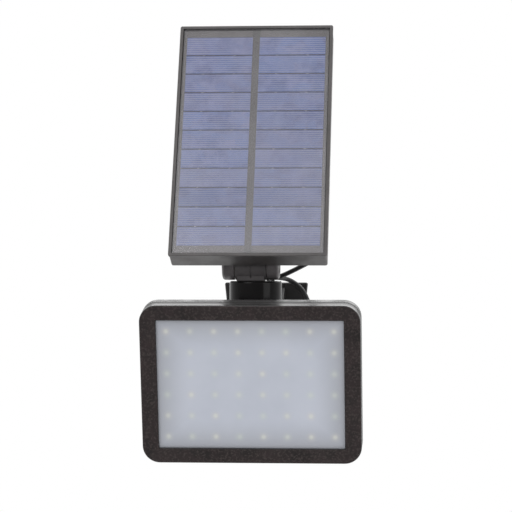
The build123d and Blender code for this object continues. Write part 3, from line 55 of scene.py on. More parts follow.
# ---- places taken from the frame ----------------------------------------------------

JOINTS = {joint["name"]: joint for joint in frame["joints"]}
PANEL_HINGE = Vector(JOINTS["panel_tilt"]["pos_m"])
LAMP_HINGE = Vector(JOINTS["lamp_tilt"]["pos_m"])
PANEL_LEAN = math.radians(24.5)    # the panel leans back, as stored
HEAD_LEAN = math.radians(-13.0)    # the lamp head leans forward, as stored


def upright(point, hinge, lean):
    """A stored point, turned back about its hinge to where it is with the part upright."""
    return hinge + Matrix.Rotation(lean, 3, "X") @ (Vector(point) - hinge)


def upright_box(node, hinge, lean):
    """Lowest and highest corner of a leaned node, measured upright."""
    points = [upright(vertex.co, hinge, lean) for vertex in NODES[node].data.vertices]
    low = Vector([min(point[axis] for point in points) for axis in range(3)])
    high = Vector([max(point[axis] for point in points) for axis in range(3)])
    return low, high


CELL_LOW, CELL_HIGH = upright_box("solar_cells", PANEL_HINGE, PANEL_LEAN)
HEAD_FRONT = upright_box("front_bezel", LAMP_HINGE, HEAD_LEAN)[0].y
WINDOW_LOW, WINDOW_HIGH = upright_box("reflector_frame", LAMP_HINGE, HEAD_LEAN)
LED_LOW, LED_HIGH = upright_box("leds", LAMP_HINGE, HEAD_LEAN)

# ---- camera -------------------------------------------------------------------------

VIEW_AZIMUTH = math.radians(5.0)
VIEW_DISTANCE = 1.93
VIEW_TARGET = Vector((-0.0086, 0.0, 0.0663))
LENS = 168.4
SENSOR = 36.0
CLIP_NEAR = 0.05
CLIP_FAR = 50.0


def make_camera():
    """A long lens, level with the middle of the light and a little to its right."""
    data = bpy.data.cameras.new("camera")
    data.lens = LENS
    data.sensor_width = SENSOR
    data.clip_start = CLIP_NEAR
    data.clip_end = CLIP_FAR
    camera = bpy.data.objects.new("camera", data)
    bpy.context.scene.collection.objects.link(camera)
    away = Vector((math.sin(VIEW_AZIMUTH), -math.cos(VIEW_AZIMUTH), 0.0))
    camera.location = VIEW_TARGET + VIEW_DISTANCE * away
    camera.rotation_mode = "QUATERNION"
    camera.rotation_quaternion = (-away).to_track_quat("-Z", "Y")
    bpy.context.scene.camera = camera


make_camera()

# ---- cable --------------------------------------------------------------------------
# The same routes as the CAD model's, in metres: panel to turret clip, turret clip to arm
# clip, arm clip to lamp head.

CABLE_DIAMETER = 0.0036
PANEL_LEAD_ROUTE = [
    (0.0435, -0.1003, 0.06815),
    (0.0435, -0.0894, 0.0632),
    (0.0370, -0.0805, 0.0600),
    (0.0265, -0.0762, 0.0548),
    (0.0165, -0.0748, 0.0502),
    (0.0084, -0.0675, 0.0491),
    (0.0078, -0.0560, 0.0490),
]
SWIVEL_LEAD_ROUTE = [
    (0.0078, -0.0560, 0.0490),
    (0.0073, -0.0465, 0.04892),
    (0.0122, -0.0380, 0.0494),
    (0.0209, -0.0334, 0.0478),
    (0.0294, -0.0346, 0.0420),
    (0.0348, -0.0372, 0.0340),
    (0.0376, -0.0393, 0.0246),
    (0.0372, -0.0395, 0.0150),
    (0.0327, -0.0380, 0.0052),
    (0.0250, -0.0385, -0.0022),
    (0.01924, -0.0465, -0.00663),
    (0.0186, -0.0570, -0.0080),
]
LAMP_LEAD_ROUTE = [
    (0.0186, -0.0570, -0.0080),
    (0.0179, -0.0685, -0.0095),
    (0.0255, -0.0780, -0.0125),
    (0.0370, -0.0835, -0.0125),
    (0.0440, -0.0948, -0.0116),
    (0.0440, -0.1064, -0.0143),
]
LEAD_SIDES = 20
ROUTE_STEPS = 16


def smooth_line(route):
    """Points along the NURBS spline that has the route's points as its control points."""
    data = bpy.data.curves.new("route", "CURVE")
    data.dimensions = "3D"
    data.resolution_u = ROUTE_STEPS
    spline = data.splines.new("NURBS")
    spline.points.add(len(route) - 1)
    for spline_point, place in zip(spline.points, route):
        spline_point.co = (*place, 1.0)
    spline.order_u = 3
    spline.use_endpoint_u = True
    holder = bpy.data.objects.new("route", data)
    mesh = bpy.data.meshes.new_from_object(holder)
    points = [vertex.co.copy() for vertex in mesh.vertices]
    bpy.data.objects.remove(holder)
    bpy.data.curves.remove(data)
    bpy.data.meshes.remove(mesh)
    return points


def tube_along(name, points, radius, sides):
    """A closed round tube along the points, turned as little as its line allows."""
    bm = bmesh.new()
    rings = []
    tangents = []
    for index in range(len(points)):
        before = points[max(index - 1, 0)]
        after = points[min(index + 1, len(points) - 1)]
        tangents.append((after - before).normalized())
    across = tangents[0].orthogonal().normalized()
    for point, tangent in zip(points, tangents):
        across = (across - tangent * across.dot(tangent)).normalized()
        beside = tangent.cross(across)
        ring = []
        for step in range(sides):
            angle = 2 * math.pi * step / sides
            offset = across * math.cos(angle) + beside * math.sin(angle)
            ring.append(bm.verts.new(point + offset * radius))
        rings.append(ring)
    for first, second in zip(rings, rings[1:]):
        for step in range(sides):
            following = (step + 1) % sides
            bm.faces.new((first[step], first[following], second[following], second[step]))
    bm.faces.new(list(reversed(rings[0])))
    bm.faces.new(rings[-1])
    return finish_mesh(name, bm)


def finish_mesh(name, bm):
    """Turns a bmesh into a smooth-shaded object at the scene's origin."""
    bmesh.ops.recalc_face_normals(bm, faces=bm.faces)
    mesh = bpy.data.meshes.new(name)
    bm.to_mesh(mesh)
    bm.free()
    mesh.shade_smooth()
    piece = bpy.data.objects.new(name, mesh)
    bpy.context.scene.collection.objects.link(piece)
    return piece


def make_lead(name, node, route):
    """A stretch of cable that bends between the two bodies that hold its ends."""
    points = smooth_line(route)
    piece = tube_along(name, points, CABLE_DIAMETER / 2, LEAD_SIDES)
    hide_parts(node)
    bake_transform(piece)
    return piece


LEADS = [
    make_lead("cable_panel_stretch", "panel_lead", PANEL_LEAD_ROUTE),
    make_lead("cable_swivel_stretch", "swivel_lead", SWIVEL_LEAD_ROUTE),
    make_lead("cable_lamp_stretch", "lamp_lead", LAMP_LEAD_ROUTE),
]

# ---- floor and light ----------------------------------------------------------------

FLOOR_DROP = 0.34
FLOOR_RADIUS = 1.6
FLOOR_SIDES = 96
FLOOR_COLOUR = (0.86, 0.86, 0.86, 1.0)
FLOOR_ROUGHNESS = 0.9
SOFTBOXES = [
    # name, place, size, power
    ("key_softbox", (-0.9, -1.5, 1.15), (1.1, 1.1), 12.0),
    ("fill_softbox", (1.4, -1.1, 0.45), (1.0, 1.2), 6.0),
    ("top_softbox", (0.1, -0.1, 1.7), (1.3, 1.3), 11.0),
    ("back_softbox", (0.2, 1.7, 1.0), (1.6, 1.0), 9.0),
]
SKY_FRONT = 0.55
SKY_BACK = 1.0
SKY_LEAN = (0.0, 0.8, 0.6)     # towards the brightest part, behind and above
SKY_SPREAD = 0.8
WHITE = (1.0, 1.0, 1.0, 1.0)


def make_floor():
    """A round pale floor under the light."""
    bm = bmesh.new()
    bmesh.ops.create_circle(bm, cap_ends=True, segments=FLOOR_SIDES, radius=FLOOR_RADIUS)
    floor = finish_mesh("floor", bm)
    floor.location.z = cad_low.z - FLOOR_DROP
    paint = bpy.data.materials.new("pale_floor")
    paint.use_nodes = True
    shader = paint.node_tree.nodes["Principled BSDF"]
    shader.inputs["Base Color"].default_value = FLOOR_COLOUR
    shader.inputs["Roughness"].default_value = FLOOR_ROUGHNESS
    floor.data.materials.append(paint)


def make_lights():
    """Four large soft lights round the object."""
    middle = Vector((0.0, PANEL_HINGE.y, (cad_low.z + cad_high.z) / 2))
    for name, place, size, power in SOFTBOXES:
        data = bpy.data.lights.new(name, "AREA")
        data.shape = "RECTANGLE"
        data.size, data.size_y = size
        data.energy = power
        light = bpy.data.objects.new(name, data)
        light.location = place
        light.rotation_mode = "QUATERNION"
        light.rotation_quaternion = (middle - light.location).to_track_quat("-Z", "Y")
        bpy.context.scene.collection.objects.link(light)


def make_world():
    """A white surround: plain to the camera, and as a light brighter behind and above."""
    world = bpy.data.worlds.new("studio")
    world.use_nodes = True
    bpy.context.scene.world = world
    tree = world.node_tree
    background = tree.nodes["Background"]
    coords = tree.nodes.new("ShaderNodeTexCoord")
    lean = tree.nodes.new("ShaderNodeVectorMath")
    lean.operation = "DOT_PRODUCT"
    lean.inputs[1].default_value = SKY_LEAN
    tree.links.new(coords.outputs["Generated"], lean.inputs[0])
    ramp = tree.nodes.new("ShaderNodeMapRange")
    ramp.inputs["From Min"].default_value = -SKY_SPREAD
    ramp.inputs["From Max"].default_value = SKY_SPREAD
    ramp.inputs["To Min"].default_value = SKY_FRONT
    ramp.inputs["To Max"].default_value = SKY_BACK
    tree.links.new(lean.outputs["Value"], ramp.inputs["Value"])
    seen = tree.nodes.new("ShaderNodeLightPath")
    pick = tree.nodes.new("ShaderNodeMix")
    pick.data_type = "FLOAT"
    tree.links.new(seen.outputs["Is Camera Ray"], pick.inputs[0])
    tree.links.new(ramp.outputs["Result"], pick.inputs[2])
    pick.inputs[3].default_value = 1.0
    tree.links.new(pick.outputs[0], background.inputs["Strength"])
    background.inputs["Color"].default_value = WHITE


make_floor()
make_lights()
make_world()
bpy.context.scene.view_settings.view_transform = "Standard"

# ---- painting helpers ---------------------------------------------------------------

PATCH_RANGE = (0.3, 0.7)       # the part of a noise's range that carries its pattern
BEVEL_SAMPLES = 4
WEAR_LIMITS = (0.995, 0.86)    # how far a normal has turned where wear starts, and is full
WEAR_PATCH = 0.004
EDGE_RADIUS = 0.0004
RUB_RADIUS = 0.0006


class Paint:
    """A node material, built up from small steps. Places are rest-frame metres."""

    def __init__(self, name):
        self.material = bpy.data.materials.new(name)
        self.material.use_nodes = True
        self.tree = self.material.node_tree
        self.shader = self.tree.nodes["Principled BSDF"]
        self.coords = self.node("ShaderNodeTexCoord").outputs["Object"]

    def node(self, kind, **settings):
        """A new node, with its settings."""
        made = self.tree.nodes.new(kind)
        for setting, value in settings.items():
            setattr(made, setting, value)
        return made

    def feed(self, socket, value):
        """Links an output to the socket, or sets it to a plain value."""
        if isinstance(value, bpy.types.NodeSocket):
            self.tree.links.new(value, socket)
        elif isinstance(value, tuple) and len(value) == 3 and socket.type == "RGBA":
            socket.default_value = (*value, 1.0)
        else:
            socket.default_value = value

    def surface(self, **sockets):
        """Sets the shader's sockets, named with _ for a space."""
        for name, value in sockets.items():
            self.feed(self.shader.inputs[name.replace("_", " ").title()], value)

    def turned(self, hinge, lean):
        """The place as it is with a leaned part upright."""
        turn = self.node("ShaderNodeVectorRotate", rotation_type="X_AXIS")
        self.feed(turn.inputs["Vector"], self.coords)
        turn.inputs["Center"].default_value = hinge
        turn.inputs["Angle"].default_value = lean
        return turn.outputs[0]

    def axes(self, place):
        """The x, y and z of a place."""
        split = self.node("ShaderNodeSeparateXYZ")
        self.feed(split.inputs[0], place)
        return split.outputs

    def point(self, x, y, z):
        """A place made of three values."""
        join = self.node("ShaderNodeCombineXYZ")
        for socket, value in zip(join.inputs, (x, y, z)):
            self.feed(socket, value)
        return join.outputs[0]

    def stretched(self, place, scale):
        """The place, scaled by axis."""
        mapping = self.node("ShaderNodeMapping")
        self.feed(mapping.inputs["Vector"], place)
        mapping.inputs["Scale"].default_value = scale
        return mapping.outputs[0]

    def maths(self, operation, first, second=0.0):
        """The result of one step of arithmetic."""
        made = self.node("ShaderNodeMath", operation=operation)
        for socket, value in zip(made.inputs, (first, second)):
            self.feed(socket, value)
        return made.outputs[0]

    def ranged(self, value, low, high, to_low=0.0, to_high=1.0):
        """The value mapped smoothly from one range to another, and held at its ends."""
        made = self.node("ShaderNodeMapRange", interpolation_type="SMOOTHSTEP")
        for name, number in (("Value", value), ("From Min", low), ("From Max", high),
                             ("To Min", to_low), ("To Max", to_high)):
            self.feed(made.inputs[name], number)
        return made.outputs["Result"]

    def apart(self, value, middle):
        """How far a value is from a middle."""
        return self.maths("ABSOLUTE", self.maths("SUBTRACT", value, middle))

    def noise(self, size, detail=3.0, roughness=0.55, place=None):
        """Soft noise, 0 to 1, whose features are about size metres across."""
        made = self.node("ShaderNodeTexNoise")
        self.feed(made.inputs["Vector"], self.coords if place is None else place)
        made.inputs["Scale"].default_value = 1.0 / size
        made.inputs["Detail"].default_value = detail
        made.inputs["Roughness"].default_value = roughness
        return made.outputs[0]

    def patches(self, size, to_low=0.0, to_high=1.0, detail=4.0):
        """Soft patches about size metres across, from to_low to to_high."""
        return self.ranged(self.noise(size, detail), *PATCH_RANGE, to_low, to_high)

    def grains(self, size):
        """Distance to the nearest of scattered grains about size metres apart."""
        made = self.node("ShaderNodeTexVoronoi")
        self.feed(made.inputs["Vector"], self.coords)
        made.inputs["Scale"].default_value = 1.0 / size
        return made.outputs["Distance"]

    def chance(self, place):
        """One random number, 0 to 1, for each place."""
        made = self.node("ShaderNodeTexWhiteNoise", noise_dimensions="3D")
        self.feed(made.inputs["Vector"], place)
        return made.outputs["Value"]

    def mix(self, share, first, second):
        """A colour between two colours."""
        made = self.node("ShaderNodeMix", data_type="RGBA")
        self.feed(made.inputs[0], share)
        self.feed(made.inputs[6], first)
        self.feed(made.inputs[7], second)
        return made.outputs[2]

    def over(self, base, colour, mask, share):
        """The base colour with another laid over it, by the mask times the share."""
        return self.mix(self.maths("MULTIPLY", mask, share), base, colour)

    def relief(self, height, depth, normal=None):
        """A normal that rises and falls with height, by depth metres."""
        made = self.node("ShaderNodeBump")
        made.inputs["Distance"].default_value = depth
        self.feed(made.inputs["Height"], height)
        if normal is not None:
            self.feed(made.inputs["Normal"], normal)
        return made.outputs[0]

    def soft_edge(self, radius):
        """The normal with sharp edges rounded by radius metres."""
        made = self.node("ShaderNodeBevel", samples=BEVEL_SAMPLES)
        made.inputs["Radius"].default_value = radius
        return made.outputs[0]

    def edge_wear(self, radius, amount):
        """0 on flat faces, and up to amount where an edge is rubbed."""
        rounded = self.soft_edge(radius)
        plain = self.node("ShaderNodeNewGeometry").outputs["Normal"]
        dot = self.node("ShaderNodeVectorMath", operation="DOT_PRODUCT")
        self.feed(dot.inputs[0], rounded)
        self.feed(dot.inputs[1], plain)
        near = self.ranged(dot.outputs["Value"], *WEAR_LIMITS)
        patchy = self.ranged(self.noise(WEAR_PATCH), 0.35, 0.65, 0.3, 1.0)
        return self.maths("MULTIPLY", self.maths("MULTIPLY", near, patchy), amount)


def moulded_plastic(name, colour, roughness, grain=0.00045, depth=0.00004, wear=0.35):
    """Injection-moulded plastic, or a coating like it: fine grain, uneven gloss, rubbed edges."""
    paint = Paint(name)
    dark = tuple(0.82 * part for part in colour)
    pale = tuple(1.22 * part for part in colour)
    glint = tuple(1.9 * part for part in colour)
    worn = tuple(min(1.0, 3.2 * part + 0.02) for part in colour)
    speck = paint.ranged(paint.noise(1.5 * grain, 2.0), 0.35, 0.7)
    base = paint.mix(paint.patches(0.03), dark, pale)
    base = paint.over(base, glint, speck, 0.35)
    base = paint.mix(paint.edge_wear(RUB_RADIUS, wear), base, worn)
    gloss = paint.patches(0.012, roughness - 0.06, roughness + 0.07)
    normal = paint.relief(paint.noise(grain, 2.0), depth, paint.soft_edge(EDGE_RADIUS))
    paint.surface(base_color=base, roughness=gloss, normal=normal)
    return paint.material


# ---- materials ----------------------------------------------------------------------

FLECK_SIZE = 0.0016
GROOVE_HALF = 0.0007
GROOVE_RELIEF = 0.0005
# distances behind the bezel's front: the face turns to side, the groove, the side turns to satin
FACE_END = 0.0003
SIDE_START = 0.0009
GROOVE_PLACE = 0.0106
GLOSSY_PLACE = 0.002
SATIN_PLACE = 0.011


def bezel_face_colour(paint, tone):
    """Brown-black, in soft patches, with fine paler flecks."""
    warm = paint.ranged(paint.noise(0.006, 3.0), 0.4, 0.7)
    fleck = paint.ranged(paint.noise(FLECK_SIZE, 2.0, 0.6), 0.48, 0.66)
    colour = paint.mix(tone, (0.0075, 0.0050, 0.0050), (0.0200, 0.0140, 0.0140))
    colour = paint.over(colour, (0.022, 0.0135, 0.0145), warm, 0.5)
    return paint.over(colour, (0.048, 0.038, 0.036), fleck, 0.55)


def bezel_plastic():
    """The lamp head's front: a matt face with fine flecks, and satin sides with a groove."""
    paint = Paint("bezel_paint")
    depth = paint.axes(paint.turned(LAMP_HINGE, HEAD_LEAN))[1]
    face = paint.ranged(depth, HEAD_FRONT + SIDE_START, HEAD_FRONT + FACE_END)
    tone = paint.ranged(paint.noise(0.02, 5.0, 0.7), *PATCH_RANGE)
    side_colour = paint.mix(tone, (0.020, 0.019, 0.019), (0.034, 0.033, 0.033))
    base = paint.mix(face, side_colour, bezel_face_colour(paint, tone))
    base = paint.mix(paint.edge_wear(RUB_RADIUS, 0.25), base, (0.075, 0.066, 0.062))
    groove = paint.ranged(paint.apart(depth, HEAD_FRONT + GROOVE_PLACE), 0.0, GROOVE_HALF)
    base = paint.mix(groove, (0.004, 0.004, 0.004), base)
    side_gloss = paint.ranged(depth, HEAD_FRONT + GLOSSY_PLACE, HEAD_FRONT + SATIN_PLACE, 0.26, 0.46)
    face_gloss = paint.patches(0.01, 0.50, 0.64)
    side = paint.maths("SUBTRACT", 1.0, face)
    gloss = paint.maths("ADD", paint.maths("MULTIPLY", face, face_gloss),
                        paint.maths("MULTIPLY", side, side_gloss))
    height = paint.maths("MULTIPLY", paint.noise(0.0012, 2.0), paint.maths("ADD", face, 0.1))
    grooved = paint.relief(groove, GROOVE_RELIEF, paint.soft_edge(EDGE_RADIUS))
    paint.surface(base_color=base, roughness=gloss, normal=paint.relief(height, 0.00009, grooved))
    paint.shader.inputs["Specular IOR Level"].default_value = 0.22
    return paint.material


BARREL_DROP = 0.0108           # from the hinge's axis down to the turret's top
TURRET_TOP = PANEL_HINGE.z - BARREL_DROP
FINISH_AND_SHADE_CHANGE = 0.0008         # height over which the turret's polish turns to satin, and its painted shade to painted light


def turret_plastic():
    """Polished black plastic round the turret, darkened by painted shade, and a satin, rubbed finish on its
    barrel, lightened by painted light.
    """
    paint = Paint("turret_plastic_paint")
    height = paint.axes(paint.coords)[2]
    barrel = paint.ranged(height, TURRET_TOP, TURRET_TOP + FINISH_AND_SHADE_CHANGE)
    tone = paint.patches(0.015)
    # painted shade makes the turret round near black, and painted light makes the barrel pale grey
    shaded_round_colour = paint.mix(tone, (0.0022, 0.0018, 0.0019), (0.0050, 0.0042, 0.0044))
    lit_barrel_colour = paint.mix(tone, (0.085, 0.079, 0.081), (0.120, 0.112, 0.115))
    base = paint.mix(barrel, shaded_round_colour, lit_barrel_colour)
    base = paint.mix(paint.edge_wear(0.0005, 0.4), base, (0.11, 0.105, 0.105))
    gloss = paint.ranged(barrel, 0.0, 1.0, 0.16, 0.40)
    normal = paint.relief(paint.noise(0.0006, 2.0), 0.00001, paint.soft_edge(EDGE_RADIUS))
    paint.surface(base_color=base, roughness=gloss, normal=normal)
    paint.shader.inputs["Specular IOR Level"].default_value = 0.15
    return paint.material


CELL_ROWS = 11
CELL_PITCH = 0.0164
COLUMN_GAP = 0.0055
CELL_MIDDLE = (CELL_LOW + CELL_HIGH) / 2
CELL_HALF = (CELL_HIGH - CELL_LOW) / 2
FINGER_PITCH = 0.00182
FINGER_WIDTH = 0.00040
CRYSTAL_STRETCH = (90.0, 7.0, 150.0)
STRIP_SEED = 3.0
STRIP_EDGE_SHADE = (0.455, 0.480)     # the painted shade along a strip's edges, as shares of the pitch from its middle


def crystal_colour(paint, x, z, row, column):
    """Mottled blue crystal, a little different in each strip, with a painted sheen that makes it paler towards the
    bottom.
    """
    strip = paint.chance(paint.point(row, column, STRIP_SEED))
    flat = paint.point(x, row, z)
    crystal = paint.node("ShaderNodeTexVoronoi")
    paint.feed(crystal.inputs["Vector"], paint.stretched(flat, CRYSTAL_STRETCH))
    crystal.inputs["Scale"].default_value = 1.0
    grain = paint.node("ShaderNodeSeparateColor")
    paint.feed(grain.inputs[0], crystal.outputs["Color"])
    cloud = paint.ranged(paint.noise(0.014, 5.0, 0.65, flat), 0.34, 0.66)
    colour = paint.mix(cloud, (0.110, 0.160, 0.440), (0.330, 0.370, 0.690))
    colour = paint.over(colour, (0.190, 0.300, 0.680), grain.outputs[0], 0.7)
    colour = paint.over(colour, (0.350, 0.335, 0.520), strip, 0.35)
    # painted sheen: the crystal turns paler towards the panel's bottom
    painted_cell_sheen = paint.ranged(z, CELL_HIGH.z, CELL_LOW.z, 0.0, 0.35)
    colour = paint.mix(painted_cell_sheen, colour, (0.400, 0.440, 0.720))
    return colour, paint.ranged(grain.outputs[1], 0.0, 1.0, 0.32, 0.5)


def cell_silicon():
    """Blue cell strips: mottled crystal, fine printed fingers, and painted shade along the edges of each strip."""
    paint = Paint("cell_silicon_paint")
    x, _, z = paint.axes(paint.turned(PANEL_HINGE, PANEL_LEAN))
    first_edge = CELL_MIDDLE.z - CELL_ROWS * CELL_PITCH / 2
    row_place = paint.maths("DIVIDE", paint.maths("SUBTRACT", z, first_edge), CELL_PITCH)
    row = paint.maths("FLOOR", row_place)
    column = paint.maths("SIGN", paint.maths("SUBTRACT", x, CELL_MIDDLE.x))
    base, gloss = crystal_colour(paint, x, z, row, column)
    finger_place = paint.maths("FRACT", paint.maths("DIVIDE", z, FINGER_PITCH))
    from_line = paint.maths("MULTIPLY", paint.apart(finger_place, 0.5), FINGER_PITCH)
    finger = paint.ranged(from_line, FINGER_WIDTH, FINGER_WIDTH / 2)
    base = paint.over(base, (0.66, 0.68, 0.76), finger, 0.45)
    # painted shade: a dark band along each strip's edges, beside the gaps between strips
    strip_edge_shade = paint.ranged(paint.apart(paint.maths("FRACT", row_place), 0.5), *STRIP_EDGE_SHADE)
    base = paint.over(base, (0.035, 0.042, 0.10), strip_edge_shade, 0.8)
    paint.surface(base_color=base, roughness=gloss, normal=paint.relief(finger, 0.00002))
    return paint.material


def panel_glass():
    """Clear cover, a little hazy and dusty, with a painted sheen that grows towards its lower edge, and a soft
    mirror.
    """
    paint = Paint("panel_glass_paint")
    clear = paint.node("ShaderNodeBsdfTransparent")
    clear.inputs[0].default_value = (0.97, 0.97, 0.975, 1.0)
    smear = paint.ranged(paint.noise(0.05, 4.0, 0.6), 0.3, 0.75, 0.02, 0.07)
    dust = paint.ranged(paint.grains(0.0035), 0.08, 0.02, 0.0, 0.06)
    height = paint.axes(paint.turned(PANEL_HINGE, PANEL_LEAN))[2]
    # painted sheen: the pale veil grows towards the panel's lower edge
    painted_glass_sheen = paint.ranged(height, CELL_HIGH.z, CELL_LOW.z, 0.0, 0.055)
    haze_and_sheen = paint.maths("ADD", paint.maths("ADD", smear, dust), painted_glass_sheen)
    paint.surface(base_color=(0.80, 0.79, 0.82), roughness=0.75)
    paint.shader.inputs["Specular IOR Level"].default_value = 0.2
    veil = paint.node("ShaderNodeMixShader")
    for socket, value in zip(veil.inputs, (haze_and_sheen, clear.outputs[0], paint.shader.outputs[0])):
        paint.feed(socket, value)
    mirror = paint.node("ShaderNodeBsdfGlossy")
    mirror.inputs["Roughness"].default_value = 0.14
    paint.feed(mirror.inputs["Normal"], paint.relief(paint.noise(0.0015, 2.0), 0.00001))
    edge_on = paint.node("ShaderNodeFresnel")
    edge_on.inputs["IOR"].default_value = 1.5
    pane = paint.node("ShaderNodeMixShader")
    for socket, value in zip(pane.inputs, (edge_on.outputs[0], veil.outputs[0], mirror.outputs[0])):
        paint.feed(socket, value)
    paint.feed(paint.tree.nodes["Material Output"].inputs["Surface"], pane.outputs[0])
    return paint.material


WEAVE_RATE = 7000.0            # radians of weave to a metre
GAP_EDGE = 0.0004
SPINE_OUTSIDE = 0.001          # the spine's tone fades from here outside its edge
SPINE_INSIDE = 0.0005          # and is full from here inside it


def backing_board():
    """Grey board behind the cells, with painted shade darkening it in the gaps between strips, and a faint glass
    weave.
    """
    paint = Paint("backing_board_paint")
    x, _, z = paint.axes(paint.turned(PANEL_HINGE, PANEL_LEAN))
    waves = [paint.maths("SINE", paint.maths("MULTIPLY", axis, WEAVE_RATE)) for axis in (x, z)]
    weave = paint.maths("MULTIPLY", *waves)
    base = paint.mix(paint.patches(0.02), (0.185, 0.170, 0.172), (0.240, 0.223, 0.226))
    base = paint.mix(paint.ranged(weave, -1.0, 1.0, 0.0, 0.25), base, (0.15, 0.14, 0.136))
    from_x = paint.apart(x, CELL_MIDDLE.x)
    from_z = paint.apart(z, CELL_MIDDLE.z)
    spine = paint.ranged(from_x, COLUMN_GAP / 2 + SPINE_OUTSIDE, COLUMN_GAP / 2 - SPINE_INSIDE)
    base = paint.over(base, (0.105, 0.097, 0.100), spine, 0.7)
    outside_spine = paint.ranged(from_x, COLUMN_GAP / 2, COLUMN_GAP / 2 + GAP_EDGE)
    within_z = paint.ranged(from_z, CELL_HALF.z, CELL_HALF.z - GAP_EDGE)
    within_x = paint.ranged(from_x, CELL_HALF.x, CELL_HALF.x - GAP_EDGE)
    # painted shade: the board is dark blue where the cells lie over it, so in the gaps between strips
    under = paint.maths("MULTIPLY", paint.maths("MULTIPLY", outside_spine, within_z), within_x)
    base = paint.mix(under, base, (0.030, 0.034, 0.060))
    paint.surface(base_color=base, roughness=0.5, normal=paint.relief(weave, 0.00001))
    return paint.material


LED_COLUMNS = 8
LED_ROWS = 6
LED_WIDTH = 0.0035
LED_HEIGHT = 0.0028
LED_PITCH_X = (LED_HIGH.x - LED_LOW.x - LED_WIDTH) / (LED_COLUMNS - 1)
LED_PITCH_Z = (LED_HIGH.z - LED_LOW.z - LED_HEIGHT) / (LED_ROWS - 1)
GLOW_RADIUS = 0.0050
CORE_RADIUS = 0.0026
SPOT_CENTRE = 0.0004
LED_SEED = 5.0
# how far inside and outside the window's edges its painted shade runs
SHADE_X = (0.028, 0.006)
SHADE_Z = (0.026, 0.004)


def led_spots(paint, base, x, z, middle):
    """The LEDs' soft spots, each a little different, on the window's colour."""
    across = paint.maths("DIVIDE", paint.maths("SUBTRACT", x, middle.x), LED_PITCH_X)
    along = paint.maths("DIVIDE", paint.maths("SUBTRACT", z, middle.z), LED_PITCH_Z)
    squares = []
    for place, pitch in ((across, LED_PITCH_X), (along, LED_PITCH_Z)):
        share = paint.maths("SUBTRACT", paint.maths("FRACT", place), 0.5)
        off = paint.maths("MULTIPLY", share, pitch)
        squares.append(paint.maths("MULTIPLY", off, off))
    reach = paint.maths("SQRT", paint.maths("ADD", *squares))
    column = paint.maths("FLOOR", across)
    row = paint.maths("FLOOR", along)
    lamp = paint.chance(paint.point(column, row, LED_SEED))
    spot = paint.mix(lamp, (0.44, 0.50, 0.43), (0.54, 0.50, 0.44))
    base = paint.over(base, spot, paint.ranged(reach, GLOW_RADIUS, SPOT_CENTRE), 0.30)
    strength = paint.ranged(lamp, 0.0, 1.0, 0.14, 0.34)
    return paint.over(base, (0.62, 0.65, 0.55), paint.ranged(reach, CORE_RADIUS, SPOT_CENTRE), strength)


def frosted_window():
    """Milky sheet: pale in the middle, greyed by painted shade towards its edges, with the LEDs' soft spots."""
    paint = Paint("frosted_window_paint")
    x, _, z = paint.axes(paint.turned(LAMP_HINGE, HEAD_LEAN))
    middle = (WINDOW_LOW + WINDOW_HIGH) / 2
    half = (WINDOW_HIGH - WINDOW_LOW) / 2
    side = paint.ranged(paint.apart(x, middle.x), half.x - SHADE_X[0], half.x + SHADE_X[1])
    end = paint.ranged(paint.apart(z, middle.z), half.z - SHADE_Z[0], half.z + SHADE_Z[1])
    base = paint.mix(paint.patches(0.04, detail=3.0), (0.395, 0.418, 0.480), (0.425, 0.448, 0.510))
    # painted shade: grey towards the window's edges
    base = paint.over(base, (0.275, 0.282, 0.305), paint.maths("MAXIMUM", side, end), 0.8)
    base = led_spots(paint, base, x, z, middle)
    paint.surface(base_color=base, roughness=0.42, normal=paint.relief(paint.noise(0.0005, 2.0), 0.00002))
    paint.shader.inputs["Specular IOR Level"].default_value = 0.4
    return paint.material


def seal_rubber(name, colour):
    """Soft rubber: dull, with dust in its pores."""
    paint = Paint(name)
    dust = paint.ranged(paint.noise(0.002, 4.0), 0.45, 0.75)
    base = paint.over(colour, tuple(2.4 * part + 0.01 for part in colour), dust, 0.5)
    paint.surface(base_color=base, roughness=0.72, normal=paint.relief(paint.noise(0.0004), 0.00005))
    return paint.material


def cable_jacket():
    """Black PVC: an even sheen, faint drawing marks and handling dust."""
    paint = Paint("cable_jacket_paint")
    dust = paint.ranged(paint.noise(0.004, 4.0), 0.4, 0.8)
    base = paint.over((0.020, 0.020, 0.021), (0.05, 0.05, 0.052), dust, 0.5)
    gloss = paint.patches(0.006, 0.27, 0.40, detail=3.0)
    paint.surface(base_color=base, roughness=gloss, normal=paint.relief(paint.noise(0.0007), 0.00003))
    return paint.material


SCRATCH_STRETCH = (1.0, 6.0, 1.0)
WRINKLE_STRETCH = (0.4, 1.0, 1.0)


def metal(name, colour, roughness, stain):
    """Turned or stamped metal: fine scratches, uneven gloss, a little stain."""
    paint = Paint(name)
    scratch = paint.noise(0.0004, 3.0, 0.7, paint.stretched(paint.coords, SCRATCH_STRETCH))
    patch = paint.ranged(paint.noise(0.003, 4.0), 0.4, 0.75)
    base = paint.over(colour, stain, patch, 0.6)
    gloss = paint.ranged(scratch, *PATCH_RANGE, roughness - 0.08, roughness + 0.1)
    paint.surface(base_color=base, metallic=1.0, roughness=gloss,
                  normal=paint.relief(scratch, 0.00002, paint.soft_edge(0.0003)))
    return paint.material


def webbed_finish(name, colour, pale, roughness):
    """Circuit board lacquer or LED phosphor: a paler web in slight relief."""
    paint = Paint(name)
    web = paint.ranged(paint.grains(0.004), 0.35, 0.42)
    base = paint.over(colour, pale, web, 0.5)
    paint.surface(base_color=base, roughness=roughness, normal=paint.relief(web, 0.00003))
    return paint.material


